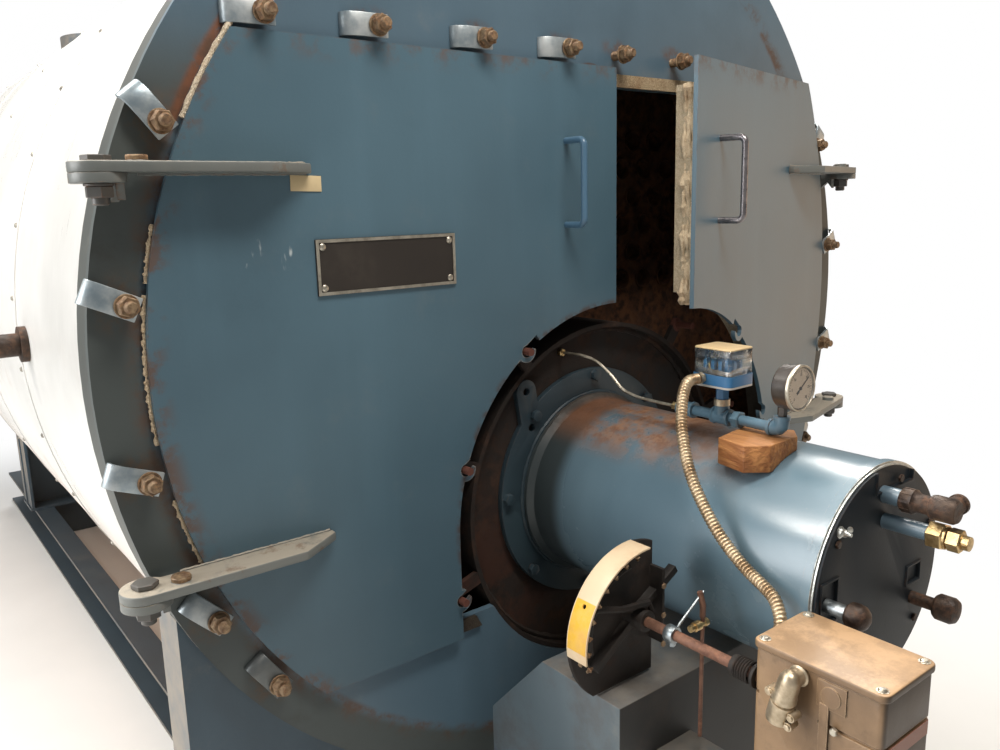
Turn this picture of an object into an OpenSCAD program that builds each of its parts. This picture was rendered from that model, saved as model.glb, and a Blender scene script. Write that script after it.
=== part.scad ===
// Fire-tube boiler with swinging smokebox doors and a forced-draught burner
// Origin on the floor under the middle of the front plate, +Y into the boiler, +Z up

/* [Shell] */
// Outside diameter of the front plate and its rim
front_d = 2000; // [1900:10:2200]
// Thickness of the front plate
front_t = 16; // [10:1:25]
// Depth of the rim hoop behind the front plate
rim_depth = 50; // [30:5:90]
// Thickness of the rim hoop
rim_t = 10; // [6:1:14]
// Height of the boiler's centre line above the floor
centre_h = 1300; // [1250:10:1500]
// Length from the front plate to the back of the jacket
shell_len = 3900; // [3000:50:5000]
// Thickness of the pressure shell
barrel_t = 12; // [8:1:20]
// Space between the shell and the metal jacket, filled with lagging
lagging_t = 30; // [20:5:50]
// Thickness of the metal jacket
jacket_t = 3; // [2:0.5:5]
// Width of the bands that hold the jacket
band_w = 40; // [25:5:70]
// Thickness of the jacket bands
band_t = 2; // [1:0.5:4]
// Number of bands along the jacket
band_n = 6; // [3:1:9]

/* [Smokebox] */
// Width of the front plate outside the round part of the smokebox opening
open_inset = 120; // [100:5:150]
// Height of the opening's top edge above the centre line
open_top = 500; // [440:5:510]
// Depth of the opening's bottom edge below the centre line
open_low = 600; // [540:5:600]
// Depth of the smokebox, from the front plate's face to the tube sheet
box_depth = 400; // [300:10:600]
// Depth of the turning chamber behind the rear tube sheet
rear_box = 500; // [480:10:700]
// Thickness of the rear cover's ring
cover_t = 20; // [14:1:30]
// Thickness of the rear cover's raised middle
cover_raise = 40; // [20:5:60]
// Width of the rear cover's bolted ring
cover_ring = 380; // [300:10:450]
// Thickness of the tube sheets
sheet_t = 16; // [12:1:25]

/* [Fire tubes] */
// Outside diameter of a fire tube
tube_d = 64; // [50:1:68]
// Wall of a fire tube
tube_wall = 4; // [3:0.5:6]
// Distance between tube centres in a row
tube_pitch = 92; // [88:1:110]
// Least space between a tube and the furnace
tube_gap = 12; // [8:1:30]
// Rows of tubes above the furnace
tube_rows = 6; // [3:1:6]
// Height of the lowest row of tubes above the centre line
tube_low = 30; // [20:5:60]
// How far a tube stands out of the tube sheet
tube_out = 6; // [3:1:10]

/* [Furnace] */
// Distance of the furnace centre to the right of the centre line
furnace_x = 97; // [60:1:120]
// Distance of the furnace centre below the boiler's centre line
furnace_drop = 411; // [400:1:440]
// Outside diameter of the furnace drum
furnace_d = 790; // [740:5:800]
// Wall of the furnace drum
furnace_t = 10; // [8:1:16]
// Distance from the front plate's face to the furnace drum's front edge
drum_front = 12; // [8:1:20]
// Distance from the front plate's face to the furnace front plate's face
furnace_front = 44; // [40:1:60]
// Thickness of the furnace front plate
furnace_plate_t = 12; // [8:1:20]

/* [Doors] */
// How far the doors' round edge laps over the front plate
door_lap = 39; // [30:1:45]
// Height of the doors' top edge above the centre line
door_top = 540; // [530:1:545]
// Depth of the doors' bottom edge below the centre line
door_low = 636; // [620:1:645]
// Thickness of a door plate
door_t = 10; // [8:1:14]
// Thickness of the rope gasket between the doors and the front plate
gasket_t = 9; // [6:1:14]
// Width of the rope gasket
gasket_w = 28; // [16:1:28]
// Play between a shut door and the rope gasket
door_play = 0.3; // [0.2:0.1:2]
// Thickness of the lining behind a door plate
lining_t = 45; // [30:1:60]
// Distance of the lining's edge from the edge of the opening
lining_gap = 12; // [10:1:20]
// Distance of the joint between the doors to the right of the centre line
joint_x = 109; // [90:1:130]
// Gap between the doors when they are shut
joint_gap = 9; // [9:1:14]
// Radius of the cut-out for the burner
cutout_r = 444; // [435:1:455]
// Radius of the hooked ears along the cut-out
ear_r = 24; // [21:1:25]
// Radius of the hole in a hooked ear
ear_hole_r = 13; // [12.5:0.5:14]
// Diameter of the studs that stand in the ears
ear_stud_d = 16; // [12:1:16]
// Distance of the lining's edge from the doors' joint
lining_inset = 14; // [10:1:20]
// Distance of the lining's edge from the cut-out for the burner
lining_arch = 32; // [24:1:40]
// Angle at which the right door stands open
right_open = 13.5; // [0:0.5:20]

/* [Hinges] */
// Distance of the hinge pins from the edge of the front plate
hinge_inset = 34; // [20:1:45]
// Distance of the hinge pins in front of the front plate
hinge_out = 42; // [40:1:55]
// Height of the hinge straps above and below the centre line
hinge_z = 325; // [280:1:360]
// Diameter of a hinge pin
pin_d = 24; // [20:1:30]
// Radial clearance of a hinge pin in its strap
pin_clear = 0.1; // [0.05:0.05:0.1]
// Thickness of a hinge strap
strap_t = 16; // [12:1:20]
// Width of a hinge strap at its pin
strap_w = 78; // [64:1:84]
// Reach of a hinge strap along its door, from the pin
strap_l = 336; // [300:1:380]
// Play between a hinge strap and its bracket or bolt head
strap_play = 0.3; // [0.2:0.1:1]
// Thickness of a hinge bracket
bracket_t = 14; // [10:1:20]

/* [Clamps] */
// Diameter of a clamp stud
stud_d = 20; // [16:1:24]
// Length of a clamp stud in front of the front plate
stud_l = 62; // [54:1:80]
// Distance of the side studs from the edge of the front plate
stud_inset = 49; // [47:1:52]
// Height of the top row of studs above the centre line
stud_top = 566; // [565:1:572]
// Width of a clamp plate
clamp_w = 40; // [36:1:42]
// Length of a clamp plate
clamp_l = 84; // [76:1:90]
// Thickness of a clamp plate
clamp_t = 8; // [6:1:10]
// Length of a clamp plate's bent heel
heel_l = 18; // [14:1:24]
// Width across flats of a clamp nut
nut_af = 32; // [28:1:34]

/* [Handles and plate] */
// Length of a door handle between its feet
handle_l = 186; // [150:1:220]
// Distance of a handle's grip from its door
handle_out = 55; // [50:1:70]
// Diameter of a handle's bar
handle_d = 14; // [10:1:18]
// Width of the bare name plate
plate_w = 290; // [240:1:320]
// Height of the bare name plate
plate_h = 97; // [80:1:120]

/* [Burner] */
// Distance of the burner centre to the right of the centre line
burner_x = 71; // [60:1:90]
// Distance of the burner centre below the boiler's centre line
burner_drop = 391; // [385:1:410]
// Diameter of the burner housing
burner_d = 400; // [360:2:404]
// Wall of the burner housing
burner_t = 5; // [3:1:10]
// Distance from the front plate's face to the front edge of the burner housing
burner_l = 677; // [640:1:720]
// Diameter of the burner's mounting flange
flange_d = 540; // [520:2:600]
// Thickness of the burner's mounting flange
flange_t = 14; // [10:1:20]
// Thickness of the burner's end plate
end_t = 10; // [6:1:14]

/* [Air inlet and linkage] */
// Distance of the air box's left side from the centre line
air_left = 345; // [330:1:350]
// Distance of the air box's front from the front plate
air_front = 470; // [460:1:480]
// Depth of the air box's top edge below the centre line
air_top = 578; // [576:1:585]
// Height of the air box
air_h = 430; // [380:5:480]
// Distance of the cam shaft from the centre line, to the left
cam_x = 269; // [262:1:275]
// Depth of the cam shaft below the centre line
cam_drop = 448; // [446:1:450]
// Depth of the rim band's middle below the cam shaft
band_drop = 12; // [0:1:14]
// Radius of the cam's rim band
cam_r = 147; // [140:1:150]
// Width of the cam's rim band
cam_band_w = 46; // [30:1:50]
// Diameter of the cam shaft
shaft_d = 18; // [12:1:20]
// Width of the drive motor's case
motor_w = 132; // [120:1:140]
// Length of the drive motor's case
motor_l = 200; // [180:1:220]
// Depth of the motor lid's top below the centre line
motor_drop = 380; // [375:1:385]
// Height of the drive motor's upper case with its lid
motor_h = 80; // [76:1:90]
// Height of the drive motor's lower case
motor_low = 230; // [200:5:260]
// Thickness of the drive motor's lid
lid_t = 12; // [10:1:16]

// Distance of the conduit connector from the drive motor's side
connector_out = 26; // [20:1:34]
// Length of the conduit connector's clamp
connector_l = 40; // [30:1:60]

/* [Stand] */
// Height of the base channels
skid_h = 160; // [120:5:180]
// Width of the base channels
skid_w = 80; // [60:5:100]
// Distance of the base channels from the centre line
skid_x = 600; // [500:10:700]
// Thickness of a channel's web and flanges
skid_t = 12; // [8:1:14]
// Distance of the front saddle's face behind the front plate's face
saddle_y = 34; // [30:1:60]
// Distance of the front saddle's sides from the front plate's edge, seen from above
saddle_inset = 95; // [80:5:140]
// Depth of the front saddle
saddle_depth = 110; // [80:5:160]
// Thickness of the saddles' plates
saddle_t = 12; // [8:1:20]
// Height of the saddle plates below the centre line
saddle_drop = 330; // [300:10:400]
// Distance of the rear saddle's sides from the front plate's edge, seen from behind
rear_inset = 300; // [200:10:360]
// Height of the rear saddle above the base channels
rear_saddle_h = 520; // [460:10:560]
// Distance of the rear saddle from the back of the jacket
rear_saddle_in = 700; // [620:10:900]
// Depth of the rear saddle
rear_saddle_depth = 200; // [140:10:260]

/* [Outlets] */
// Inside diameter of the flue outlet
flue_d = 400; // [300:10:500]
// Height of the flue outlet's collar
flue_h = 160; // [120:5:240]
// Wall of the flue outlet's collar
flue_t = 6; // [4:1:10]
// Height of the curb ring round the flue outlet's foot
curb_h = 30; // [20:5:50]
// Bore of the steam outlet
steam_d = 100; // [80:1:150]
// Diameter of the steam outlet's flange
steam_flange_d = 230; // [220:5:260]
// Diameter of the bolt circle on the steam outlet's flange
steam_pcd = 190; // [185:1:195]
// Diameter of a bolt hole in the steam outlet's flange
steam_hole_d = 18; // [14:1:22]
// Height of the steam outlet above the jacket
steam_h = 150; // [120:5:200]
// Wall of the steam outlet's pipe
steam_wall = 8; // [5:1:12]
// Thickness of the steam outlet's flange
steam_flange_t = 22; // [16:1:30]

// Bore of the two safety valve sockets
valve_d = 64; // [50:2:70]
// Bore of the pipe stub on the side
nozzle_d = 38; // [25:1:50]

/* [Hidden] */
$fn = 64;

front_r = front_d / 2;
open_r = front_r - open_inset;
door_r = open_r + door_lap;
stud_r = front_r - stud_inset;
hinge_x = front_r - hinge_inset;
saddle_half = front_r - saddle_inset;
rear_half = front_r - rear_inset;
jacket_r = front_r - rim_t - 0.5;
shell_r = jacket_r - jacket_t - lagging_t;
furnace_r = furnace_d / 2;
burner_r = burner_d / 2;
tube_row_h = tube_pitch * sin(60);
function band_y(i) = front_t + rim_depth + i * (shell_len - front_t - rim_depth - band_w) / band_n - 8;
rear_sheet_y = shell_len - rear_box;
rear_saddle_y = shell_len - rear_saddle_in;
door_back = -gasket_t - door_play;
door_front = door_back - door_t;
left_end = joint_x - joint_gap / 2;
right_end = joint_x + joint_gap / 2;
side_angles = [155.6, 172.6, 189.5, 206.3, 217.3];
clamp_turns = [128, 155, 160, 135, 125];
top_xs = [-690, -483, -254, -40, 116, 304];
blue = [0.22, 0.38, 0.52];
rust = [0.45, 0.25, 0.14];
cream = [0.86, 0.8, 0.66];
alloy = [0.82, 0.84, 0.86];
black = [0.1, 0.1, 0.1];
brass = [0.72, 0.58, 0.3];
steel = [0.6, 0.6, 0.58];
cast = [0.5, 0.46, 0.4];

// Places that several pieces share
module at_centre() { translate([0, 0, centre_h]) children(); }
module at_furnace() { translate([furnace_x, 0, centre_h - furnace_drop]) children(); }
module at_burner() { translate([burner_x, 0, centre_h - burner_drop]) children(); }
module at_flue() { translate([0, shell_len - 290, centre_h]) children(); }
module at_steam() { translate([0, band_y(floor(band_n / 2) + 0.5), centre_h]) children(); }
module at_valves() {
  for (y = [-80, 80]) translate([0, band_y(floor(band_n / 2) + 1.5) + y, centre_h]) children();
}
module at_nozzle() { translate([0, band_y(1) - 90, centre_h]) rotate([0, -90, 0]) children(); }
module both_sides() { children(); mirror([1, 0, 0]) children(); }

// An outline seen from the front, made into a plate from y0 to y0 + t
module plate(y0, t) {
  translate([0, y0 + t, 0]) rotate([90, 0, 0]) linear_extrude(height = t) children();
}

// A round bar or pipe along Y, from y0 to y1
module bar_y(y0, y1, r, n = 64) {
  translate([0, y0, 0]) rotate([-90, 0, 0]) cylinder(h = y1 - y0, r = r, $fn = n);
}

module pipe_y(y0, y1, r, wall) {
  difference() {
    bar_y(y0, y1, r);
    bar_y(y0 - 1, y1 + 1, r - wall);
  }
}

// The smokebox opening as seen from the front, made smaller by inset
module opening_outline(inset = 0) {
  intersection() {
    circle(open_r - inset, $fn = 180);
    translate([-front_r, -open_low + inset])
      square([front_d, open_top + open_low - 2 * inset]);
  }
}

module furnace_hole(r) { translate([furnace_x, -furnace_drop]) circle(r, $fn = 128); }

module front_plate() {
  color(blue) at_centre() plate(0, front_t) difference() {
    circle(front_r, $fn = 180);
    opening_outline();
    furnace_hole(furnace_r + 1);
    for (x = top_xs) translate([x, stud_top]) circle(d = stud_d);
    for (a = side_angles) for (s = [1, -1])
      translate([s * stud_r * cos(a), stud_r * sin(a)]) circle(d = stud_d);
  }
}

module front_rim() {
  color(blue) at_centre() pipe_y(front_t, front_t + rim_depth, front_r, rim_t);
}

module opening_gasket() {
  color(cream) at_centre() plate(-gasket_t, gasket_t) difference() {
    intersection() {
      circle(open_r + gasket_w, $fn = 180);
      translate([-front_r, -open_low - gasket_w])
        square([front_d, open_top + open_low + 2 * gasket_w]);
    }
    opening_outline(-2);
    furnace_hole(cutout_r);
  }
}

module smokebox_barrel() {
  color(rust) at_centre() pipe_y(front_t, box_depth, shell_r, barrel_t);
}

module boiler_shell() {
  color(rust) at_centre() pipe_y(box_depth + sheet_t, rear_sheet_y, shell_r, barrel_t);
}

// Tube centres in staggered rows, kept inside the shell
function row_z(j) = tube_low + j * tube_row_h;
function row_half(j) = sqrt(pow(shell_r - barrel_t - tube_d, 2) - pow(row_z(j), 2));
function tube_spots() = [
  for (j = [0 : tube_rows - 1])
    for (i = [-floor(row_half(j) / tube_pitch) - 1 : floor(row_half(j) / tube_pitch) + 1])
      let (x = (i + (j % 2) / 2) * tube_pitch)
        if (abs(x) < row_half(j) && norm([x - furnace_x, row_z(j) + furnace_drop]) > furnace_r + tube_d / 2 + tube_gap)
          [x, row_z(j)]
];

module tube_sheet(y0) {
  at_centre() plate(y0, sheet_t) difference() {
    circle(shell_r, $fn = 180);
    for (p = tube_spots()) translate(p) circle(d = tube_d + 0.4, $fn = 32);
    furnace_hole(furnace_r + 0.2);
  }
}

module front_tube_sheet() { color(rust) tube_sheet(box_depth); }
module rear_tube_sheet() { color(rust) tube_sheet(rear_sheet_y); }

module fire_tubes() {
  color(rust) at_centre() for (p = tube_spots()) translate([p[0], 0, p[1]])
    translate([0, box_depth - tube_out, 0]) rotate([-90, 0, 0]) difference() {
      cylinder(h = rear_sheet_y + sheet_t + 2 * tube_out - box_depth, d = tube_d, $fn = 24);
      translate([0, 0, -1])
        cylinder(h = rear_sheet_y + sheet_t + 2 * tube_out - box_depth + 2, d = tube_d - 2 * tube_wall, $fn = 24);
    }
}

module furnace_drum() {
  color(black) at_furnace() pipe_y(drum_front, rear_sheet_y + sheet_t, furnace_r, furnace_t);
}

// The plate that closes the furnace and carries the burner, with the lugs and studs of the ears
module furnace_front() {
  color(rust) {
    at_centre() plate(furnace_front, furnace_plate_t) difference() {
      furnace_hole(furnace_r - furnace_t - 0.2);
      translate([burner_x, -burner_drop]) circle(burner_r - burner_t, $fn = 128);
    }
    at_centre() plate(drum_front, 12) difference() {
      for (side = [-1, 1]) translate([furnace_x, -furnace_drop]) mirror([side < 0 ? 1 : 0, 0]) ear_lugs();
      furnace_hole(furnace_r + 0.2);
    }
    for (side = [-1, 1]) for (p = ear_spots)
      translate([furnace_x - side * (furnace_x - p[0]), 0, centre_h + p[1]])
        bar_y(door_front - 15, drum_front, ear_stud_d / 2, 32);
  }
}

module ear_lugs() {
  for (p = ear_spots) {
    v = [p[0] - furnace_x, p[1] + furnace_drop];
    rotate(atan2(v[1], v[0])) translate([furnace_r - 5, -14]) square([norm(v) + 19 - furnace_r, 28]);
  }
}

module shell_jacket() {
  color(alloy) difference() {
    at_centre() pipe_y(front_t, shell_len, jacket_r, jacket_t);
    at_flue() cylinder(h = 2 * front_r, d = flue_d);
    at_steam() cylinder(h = 2 * front_r, d = steam_d);
    at_valves() cylinder(h = 2 * front_r, d = valve_d);
    at_nozzle() cylinder(h = 2 * front_r, d = nozzle_d);
  }
}

module jacket_bands() {
  color(alloy) difference() {
    at_centre() for (i = [1 : band_n]) translate([0, band_y(i), 0]) difference() {
      bar_y(0, band_w, jacket_r + band_t);
      bar_y(-1, band_w + 1, jacket_r + 0.2);
    }
    at_flue() cylinder(h = 2 * front_r, d = flue_d + 12 * flue_t + 1);
  }
}

// Flat lagged cover over the rear turning chamber, held by a ring of bolts
module rear_cover() {
  color(blue) at_centre() {
    bar_y(shell_len, shell_len + cover_t, front_r);
    bar_y(shell_len + cover_t, shell_len + cover_t + cover_raise, front_r - cover_ring);
    for (a = [0 : 15 : 345]) rotate([0, a, 0]) translate([front_r - 40, 0, 0])
      bar_y(shell_len + cover_t, shell_len + 2 * cover_t, 16, 6);
  }
}

module rear_box_barrel() {
  color(rust) difference() {
    at_centre() pipe_y(rear_sheet_y + sheet_t, shell_len, shell_r, barrel_t);
    at_flue() cylinder(h = 2 * front_r, d = flue_d);
  }
}

module flue_outlet() {
  color(blue) at_flue() difference() {
    union() {
      cylinder(h = jacket_r + flue_h, d = flue_d + 2 * flue_t);
      cylinder(h = jacket_r + curb_h, d = flue_d + 12 * flue_t);
    }
    translate([0, 0, -1]) cylinder(h = jacket_r + flue_h + 2, d = flue_d);
    rotate([90, 0, 0]) cylinder(h = 3 * flue_d, r = jacket_r + 0.3, center = true, $fn = 180);
  }
}

// A pipe with a slip-on flange
module steam_outlet() {
  color(steel) at_steam() {
    difference() {
      cylinder(h = jacket_r + steam_h, d = steam_d + 2 * steam_wall);
      translate([0, 0, -1]) cylinder(h = jacket_r + steam_h + 2, d = steam_d);
      rotate([90, 0, 0]) cylinder(h = 3 * steam_flange_d, r = jacket_r + 0.3, center = true, $fn = 180);
    }
    translate([0, 0, jacket_r + steam_h - steam_flange_t]) difference() {
      cylinder(h = steam_flange_t, d = steam_flange_d);
      translate([0, 0, -1]) cylinder(h = steam_flange_t + 2, d = steam_d + 2 * steam_wall + 0.4);
      for (a = [22.5 : 45 : 360]) rotate([0, 0, a]) translate([steam_pcd / 2, 0, -1])
        cylinder(h = steam_flange_t + 2, d = steam_hole_d, $fn = 24);
    }
  }
}

// Two plain threaded sockets for safety valves
module valve_outlets() {
  color(steel) at_valves() difference() {
    cylinder(h = jacket_r + 70, d = valve_d + 32);
    translate([0, 0, -1]) cylinder(h = jacket_r + 72, d = valve_d);
    rotate([90, 0, 0]) cylinder(h = 400, r = jacket_r + 0.3, center = true, $fn = 180);
  }
}

// Pipe stub on the left side, where a pipe is fitted to the shell
module side_nozzle() {
  color(rust) at_nozzle() difference() {
    union() {
      cylinder(h = jacket_r + 60, d = nozzle_d + 10);
      cylinder(h = jacket_r + 14, d = nozzle_d + 36);
    }
    translate([0, 0, -1]) cylinder(h = jacket_r + 80, d = nozzle_d);
    rotate([90, 0, 0]) cylinder(h = 400, r = jacket_r + 0.3, center = true, $fn = 180);
  }
}

// A fabricated saddle: a front plate shaped to the shell, two side plates and a foot
module front_saddle() {
  color(blue) difference() {
    union() {
      plate(saddle_y, saddle_t) translate([-saddle_half, skid_h])
        square([2 * saddle_half, centre_h - skid_h - saddle_drop]);
      both_sides() translate([saddle_half - saddle_t, saddle_y, skid_h])
        cube([saddle_t, saddle_depth, centre_h - skid_h - saddle_drop]);
      translate([-saddle_half, saddle_y, skid_h]) cube([2 * saddle_half, saddle_depth, saddle_t]);
    }
    at_centre() bar_y(saddle_y - 10, saddle_y + saddle_depth + 10, jacket_r + 0.3, 240);
    at_centre() bar_y(saddle_y - 10, front_t + rim_depth + 1, front_r + 0.3, 240);
  }
}

module rear_saddle() {
  color(blue) difference() {
    union() {
      plate(rear_saddle_y, saddle_t) translate([-rear_half, skid_h])
        square([2 * rear_half, rear_saddle_h]);
      for (i = [-3 : 2 : 3]) translate([i * (rear_half - saddle_t) / 3 - saddle_t / 2, 0, skid_h])
        translate([0, rear_saddle_y - rear_saddle_depth / 2, 0]) cube([saddle_t, rear_saddle_depth, rear_saddle_h]);
      translate([-rear_half, rear_saddle_y - rear_saddle_depth / 2, skid_h])
        cube([2 * rear_half, rear_saddle_depth, saddle_t]);
    }
    at_centre() bar_y(rear_saddle_y - rear_saddle_depth, rear_saddle_y + rear_saddle_depth,
                      jacket_r + band_t + 0.3, 240);
  }
}

// Channel section, open to the outside
module channel(len) {
  rotate([-90, 0, 0]) linear_extrude(height = len) difference() {
    translate([0, -skid_h]) square([skid_w, skid_h]);
    translate([skid_t, -skid_h + skid_t]) square([skid_w, skid_h - 2 * skid_t]);
  }
}

module skid_rails() {
  color(blue) both_sides() translate([skid_x, 110, 0]) channel(shell_len - 110);
}

// Box sections across the base, open at both ends
module crossbar(half, y0, depth) {
  translate([-half, y0, 0]) difference() {
    cube([2 * half, depth, skid_h - 0.2]);
    translate([-1, skid_t, skid_t]) cube([2 * half + 2, depth - 2 * skid_t, skid_h - 2 * skid_t]);
  }
}

module skid_crossbars() {
  color(blue) {
    crossbar(saddle_half, -110, 219.8);
    crossbar(skid_x, shell_len - 760, 160);
  }
}

module hinge_bracket() {
  translate([0, 0, -bracket_t]) linear_extrude(height = bracket_t) difference() {
    hull() {
      translate([0, -hinge_out]) circle(r = strap_w / 2);
      translate([-28, -1]) square([66, 1]);
    }
    translate([0, -hinge_out]) circle(d = pin_d);
  }
}

module hinge_brackets() {
  for (z = [-hinge_z, hinge_z]) translate([-hinge_x, 0, centre_h + z - strap_t / 2 - strap_play])
    difference() {
      union() {
        hinge_bracket();
        translate([24, -hinge_out + 4, -bracket_t - 52]) cube([12, hinge_out - 4, 52]);
      }
      translate([10, -hinge_out - 20, -bracket_t - 53]) rotate([-40, 0, 0]) cube([60, 90, 60]);
    }
}

module left_hinge_brackets() { color(blue) hinge_brackets(); }
module right_hinge_brackets() { color(blue) mirror([1, 0, 0]) hinge_brackets(); }

// A hex bolt through the strap and its bracket, with a nut below
module hinge_bolts() {
  for (z = [-hinge_z, hinge_z]) translate([-hinge_x, -hinge_out, centre_h + z]) {
    translate([0, 0, -strap_t / 2 - bracket_t - 30]) cylinder(h = strap_t + bracket_t + 31, d = pin_d);
    translate([0, 0, strap_t / 2 + strap_play]) cylinder(h = 15, r = 21, $fn = 6);
    translate([0, 0, -strap_t / 2 - bracket_t - 20 - strap_play]) cylinder(h = 20, r = 21, $fn = 6);
  }
}

module left_hinge_pins() { color(steel) hinge_bolts(); }
module right_hinge_pins() { color(steel) mirror([1, 0, 0]) hinge_bolts(); }

// Studs with their nuts and washers: they stand on the face of the front plate
module stud(turn = 0) {
  bar_y(-stud_l, front_t, stud_d / 2, 32);
  translate([0, -clamp_t - heel_l - 4, 0]) bar_y(0, 4, nut_af / sqrt(3) + 1, 32);
  rotate([0, turn, 0]) bar_y(-clamp_t - heel_l - 4 - 18, -clamp_t - heel_l - 4, nut_af / sqrt(3), 6);
}

// A bent clamp plate, turned clear of its door
module clamp() {
  heel = clamp_t + heel_l;
  difference() {
    translate([-clamp_l + 20, 0, -clamp_w / 2]) linear_extrude(height = clamp_w) difference() {
      union() {
        translate([clamp_t + 2, -heel]) square([clamp_l - clamp_t - 2, clamp_t]);
        translate([0, -heel + clamp_t + 2]) square([clamp_t, heel_l - 2]);
        intersection() {
          translate([clamp_t + 2, -heel + clamp_t + 2]) circle(clamp_t + 2, $fn = 32);
          translate([0, -heel]) square(clamp_t + 2);
        }
      }
      translate([clamp_t + 2, -heel + clamp_t + 2]) circle(2, $fn = 24);
    }
    bar_y(-heel - 1, 1, stud_d / 2 + 0.5, 32);
  }
}

module top_studs() {
  color(rust) at_centre() for (x = top_xs) translate([x, 0, stud_top]) stud();
}

module top_clamps() {
  color(blue) at_centre() for (i = [0 : 3]) translate([top_xs[i], 0, stud_top]) clamp();
}

module side_studs() {
  color(rust) at_centre() both_sides() for (a = side_angles)
    translate([stud_r * cos(a), 0, stud_r * sin(a)]) stud(a);
}

module side_clamps() {
  color(blue) at_centre() both_sides() for (i = [0 : 4])
    translate([stud_r * cos(side_angles[i]), 0, stud_r * sin(side_angles[i])])
      rotate([0, 180 - clamp_turns[i], 0]) clamp();
}

// Both doors shut, seen from the front: side -1 is the left door, 1 the right one
module door_outline(side, edge, inset = 0, arch = 0) {
  difference() {
    intersection() {
      circle(edge, $fn = 180);
      translate([side > 0 ? right_end + inset : -front_r, -door_low + inset])
        square([side > 0 ? front_r : front_r + left_end - inset, door_top + door_low - 2 * inset]);
    }
    furnace_hole(cutout_r + arch);
    translate([furnace_x - cutout_r - arch, -front_r]) square([2 * (cutout_r + arch), front_r - furnace_drop]);
  }
}

// Hooked ears along the edge of the cut-out, open towards the joint between the doors
ear_spots = [[-160, -46], [-326, -270], [-347, -550]];
module ears(side) {
  for (p = ear_spots) translate([furnace_x + side * (furnace_x - p[0]), p[1]]) children();
}

module door_plate(side) {
  at_centre() plate(door_front, door_t) difference() {
    union() {
      door_outline(side, door_r);
      ears(side) circle(r = ear_r);
    }
    ears(side) circle(r = ear_hole_r);
    ears(side) rotate(side < 0 ? 35 : 145) translate([0, -ear_hole_r + 2]) square([40, 2 * ear_hole_r - 4]);
  }
}

module door_lining(side) {
  at_centre() plate(door_back, lining_t) intersection() {
    door_outline(side, open_r - lining_gap, lining_inset, lining_arch);
    opening_outline(lining_gap);
  }
}

// A strap: a flat bar on edge with an eye for the pin, cut away towards its tip
module strap() {
  linear_extrude(height = strap_t) difference() {
    union() {
      circle(r = strap_w / 2);
      polygon([[0, -strap_w / 2], [strap_l - 78, -strap_w / 2 - 2], [strap_l, hinge_out + door_front - 14],
               [strap_l, hinge_out + door_front - 0.2], [52, hinge_out + door_front - 0.2], [0, strap_w / 2 - 12]]);
    }
    circle(r = pin_d / 2 + pin_clear);
  }
}

module door_straps() {
  for (z = [-hinge_z, hinge_z]) translate([-hinge_x, -hinge_out, centre_h + z - strap_t / 2]) {
    strap();
    translate([52, -14, strap_t]) cylinder(h = 9, r = 15, $fn = 32);
  }
}

// A bent bar handle standing on edge, its feet welded to the door
module handle(x) {
  translate([x, door_front, centre_h + 298]) {
    for (z = [-1, 1]) translate([0, 0, z * (handle_l / 2 - handle_d / 2)]) {
      bar_y(-handle_out + handle_d, -0.1, handle_d / 2, 24);
    }
    rotate([0, 90, 0]) translate([0, -handle_out + handle_d, 0]) {
      for (s = [-1, 1]) translate([s * (handle_l / 2 - handle_d / 2 - handle_d), 0, 0])
        rotate([0, 0, s < 0 ? 180 : 270]) rotate_extrude(angle = 90, $fn = 48) translate([handle_d, 0])
          circle(d = handle_d, $fn = 24);
    }
    translate([0, -handle_out, -handle_l / 2 + 1.5 * handle_d])
      cylinder(h = handle_l - 3 * handle_d, d = handle_d, $fn = 24);
  }
}

module left_door_plate() { color(blue) door_plate(-1); }
module left_door_lining() { color(cream) door_lining(-1); }
module left_door_straps() { color(blue) door_straps(); }
module left_door_handle() { color(blue) handle(-45); }

module name_plate() {
  color(black) at_centre() plate(door_front - 3, 3) translate([-627, 110]) square([plate_w, plate_h]);
}

// The right door as it stands open, turned about its hinge pins
module opened() {
  translate([hinge_x, -hinge_out, 0]) rotate([0, 0, right_open]) translate([-hinge_x, hinge_out, 0]) children();
}

module right_door_plate() { color(blue) opened() door_plate(1); }
module right_door_lining() { color(cream) opened() door_lining(1); }
module right_door_straps() { color(blue) opened() mirror([1, 0, 0]) door_straps(); }
module right_door_handle() { color(blue) opened() handle(226); }

// Mounting flange of the burner, with a lug that has two holes
lug_spots = [[-123, -147], [-109, -230]];
module burner_flange() {
  color(blue) {
    difference() {
      union() {
        at_burner() bar_y(furnace_front - flange_t, furnace_front, flange_d / 2);
        at_centre() plate(furnace_front - flange_t, flange_t) hull()
          for (p = lug_spots) translate(p) circle(27);
      }
      at_burner() bar_y(-60, 60, burner_r - burner_t);
      at_centre() for (p = lug_spots) translate([p[0], 0, p[1]]) bar_y(-60, 60, 9, 32);
    }
    at_burner() for (a = [0 : 45 : 315]) rotate([0, a + 2.6, 0]) translate([flange_d / 2 - 16, 0, 0])
      bar_y(furnace_front - flange_t - 12, furnace_front - flange_t, 13, 6);
  }
}

// Rolled housing with a bead at the flange and a narrow rim round its mouth
housing_l = burner_l + furnace_front - flange_t;
module burner_housing() {
  color(blue) at_burner() translate([0, furnace_front - flange_t, 0]) rotate([90, 0, 0])
    rotate_extrude($fn = 128) polygon([
      [burner_r - burner_t, 0], [burner_r + 12, 0], [burner_r + 12, 14], [burner_r, 26],
      [burner_r, housing_l - 16], [burner_r + 4, housing_l - 16], [burner_r + 4, housing_l],
      [burner_r - burner_t, housing_l]
    ]);
}

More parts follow.
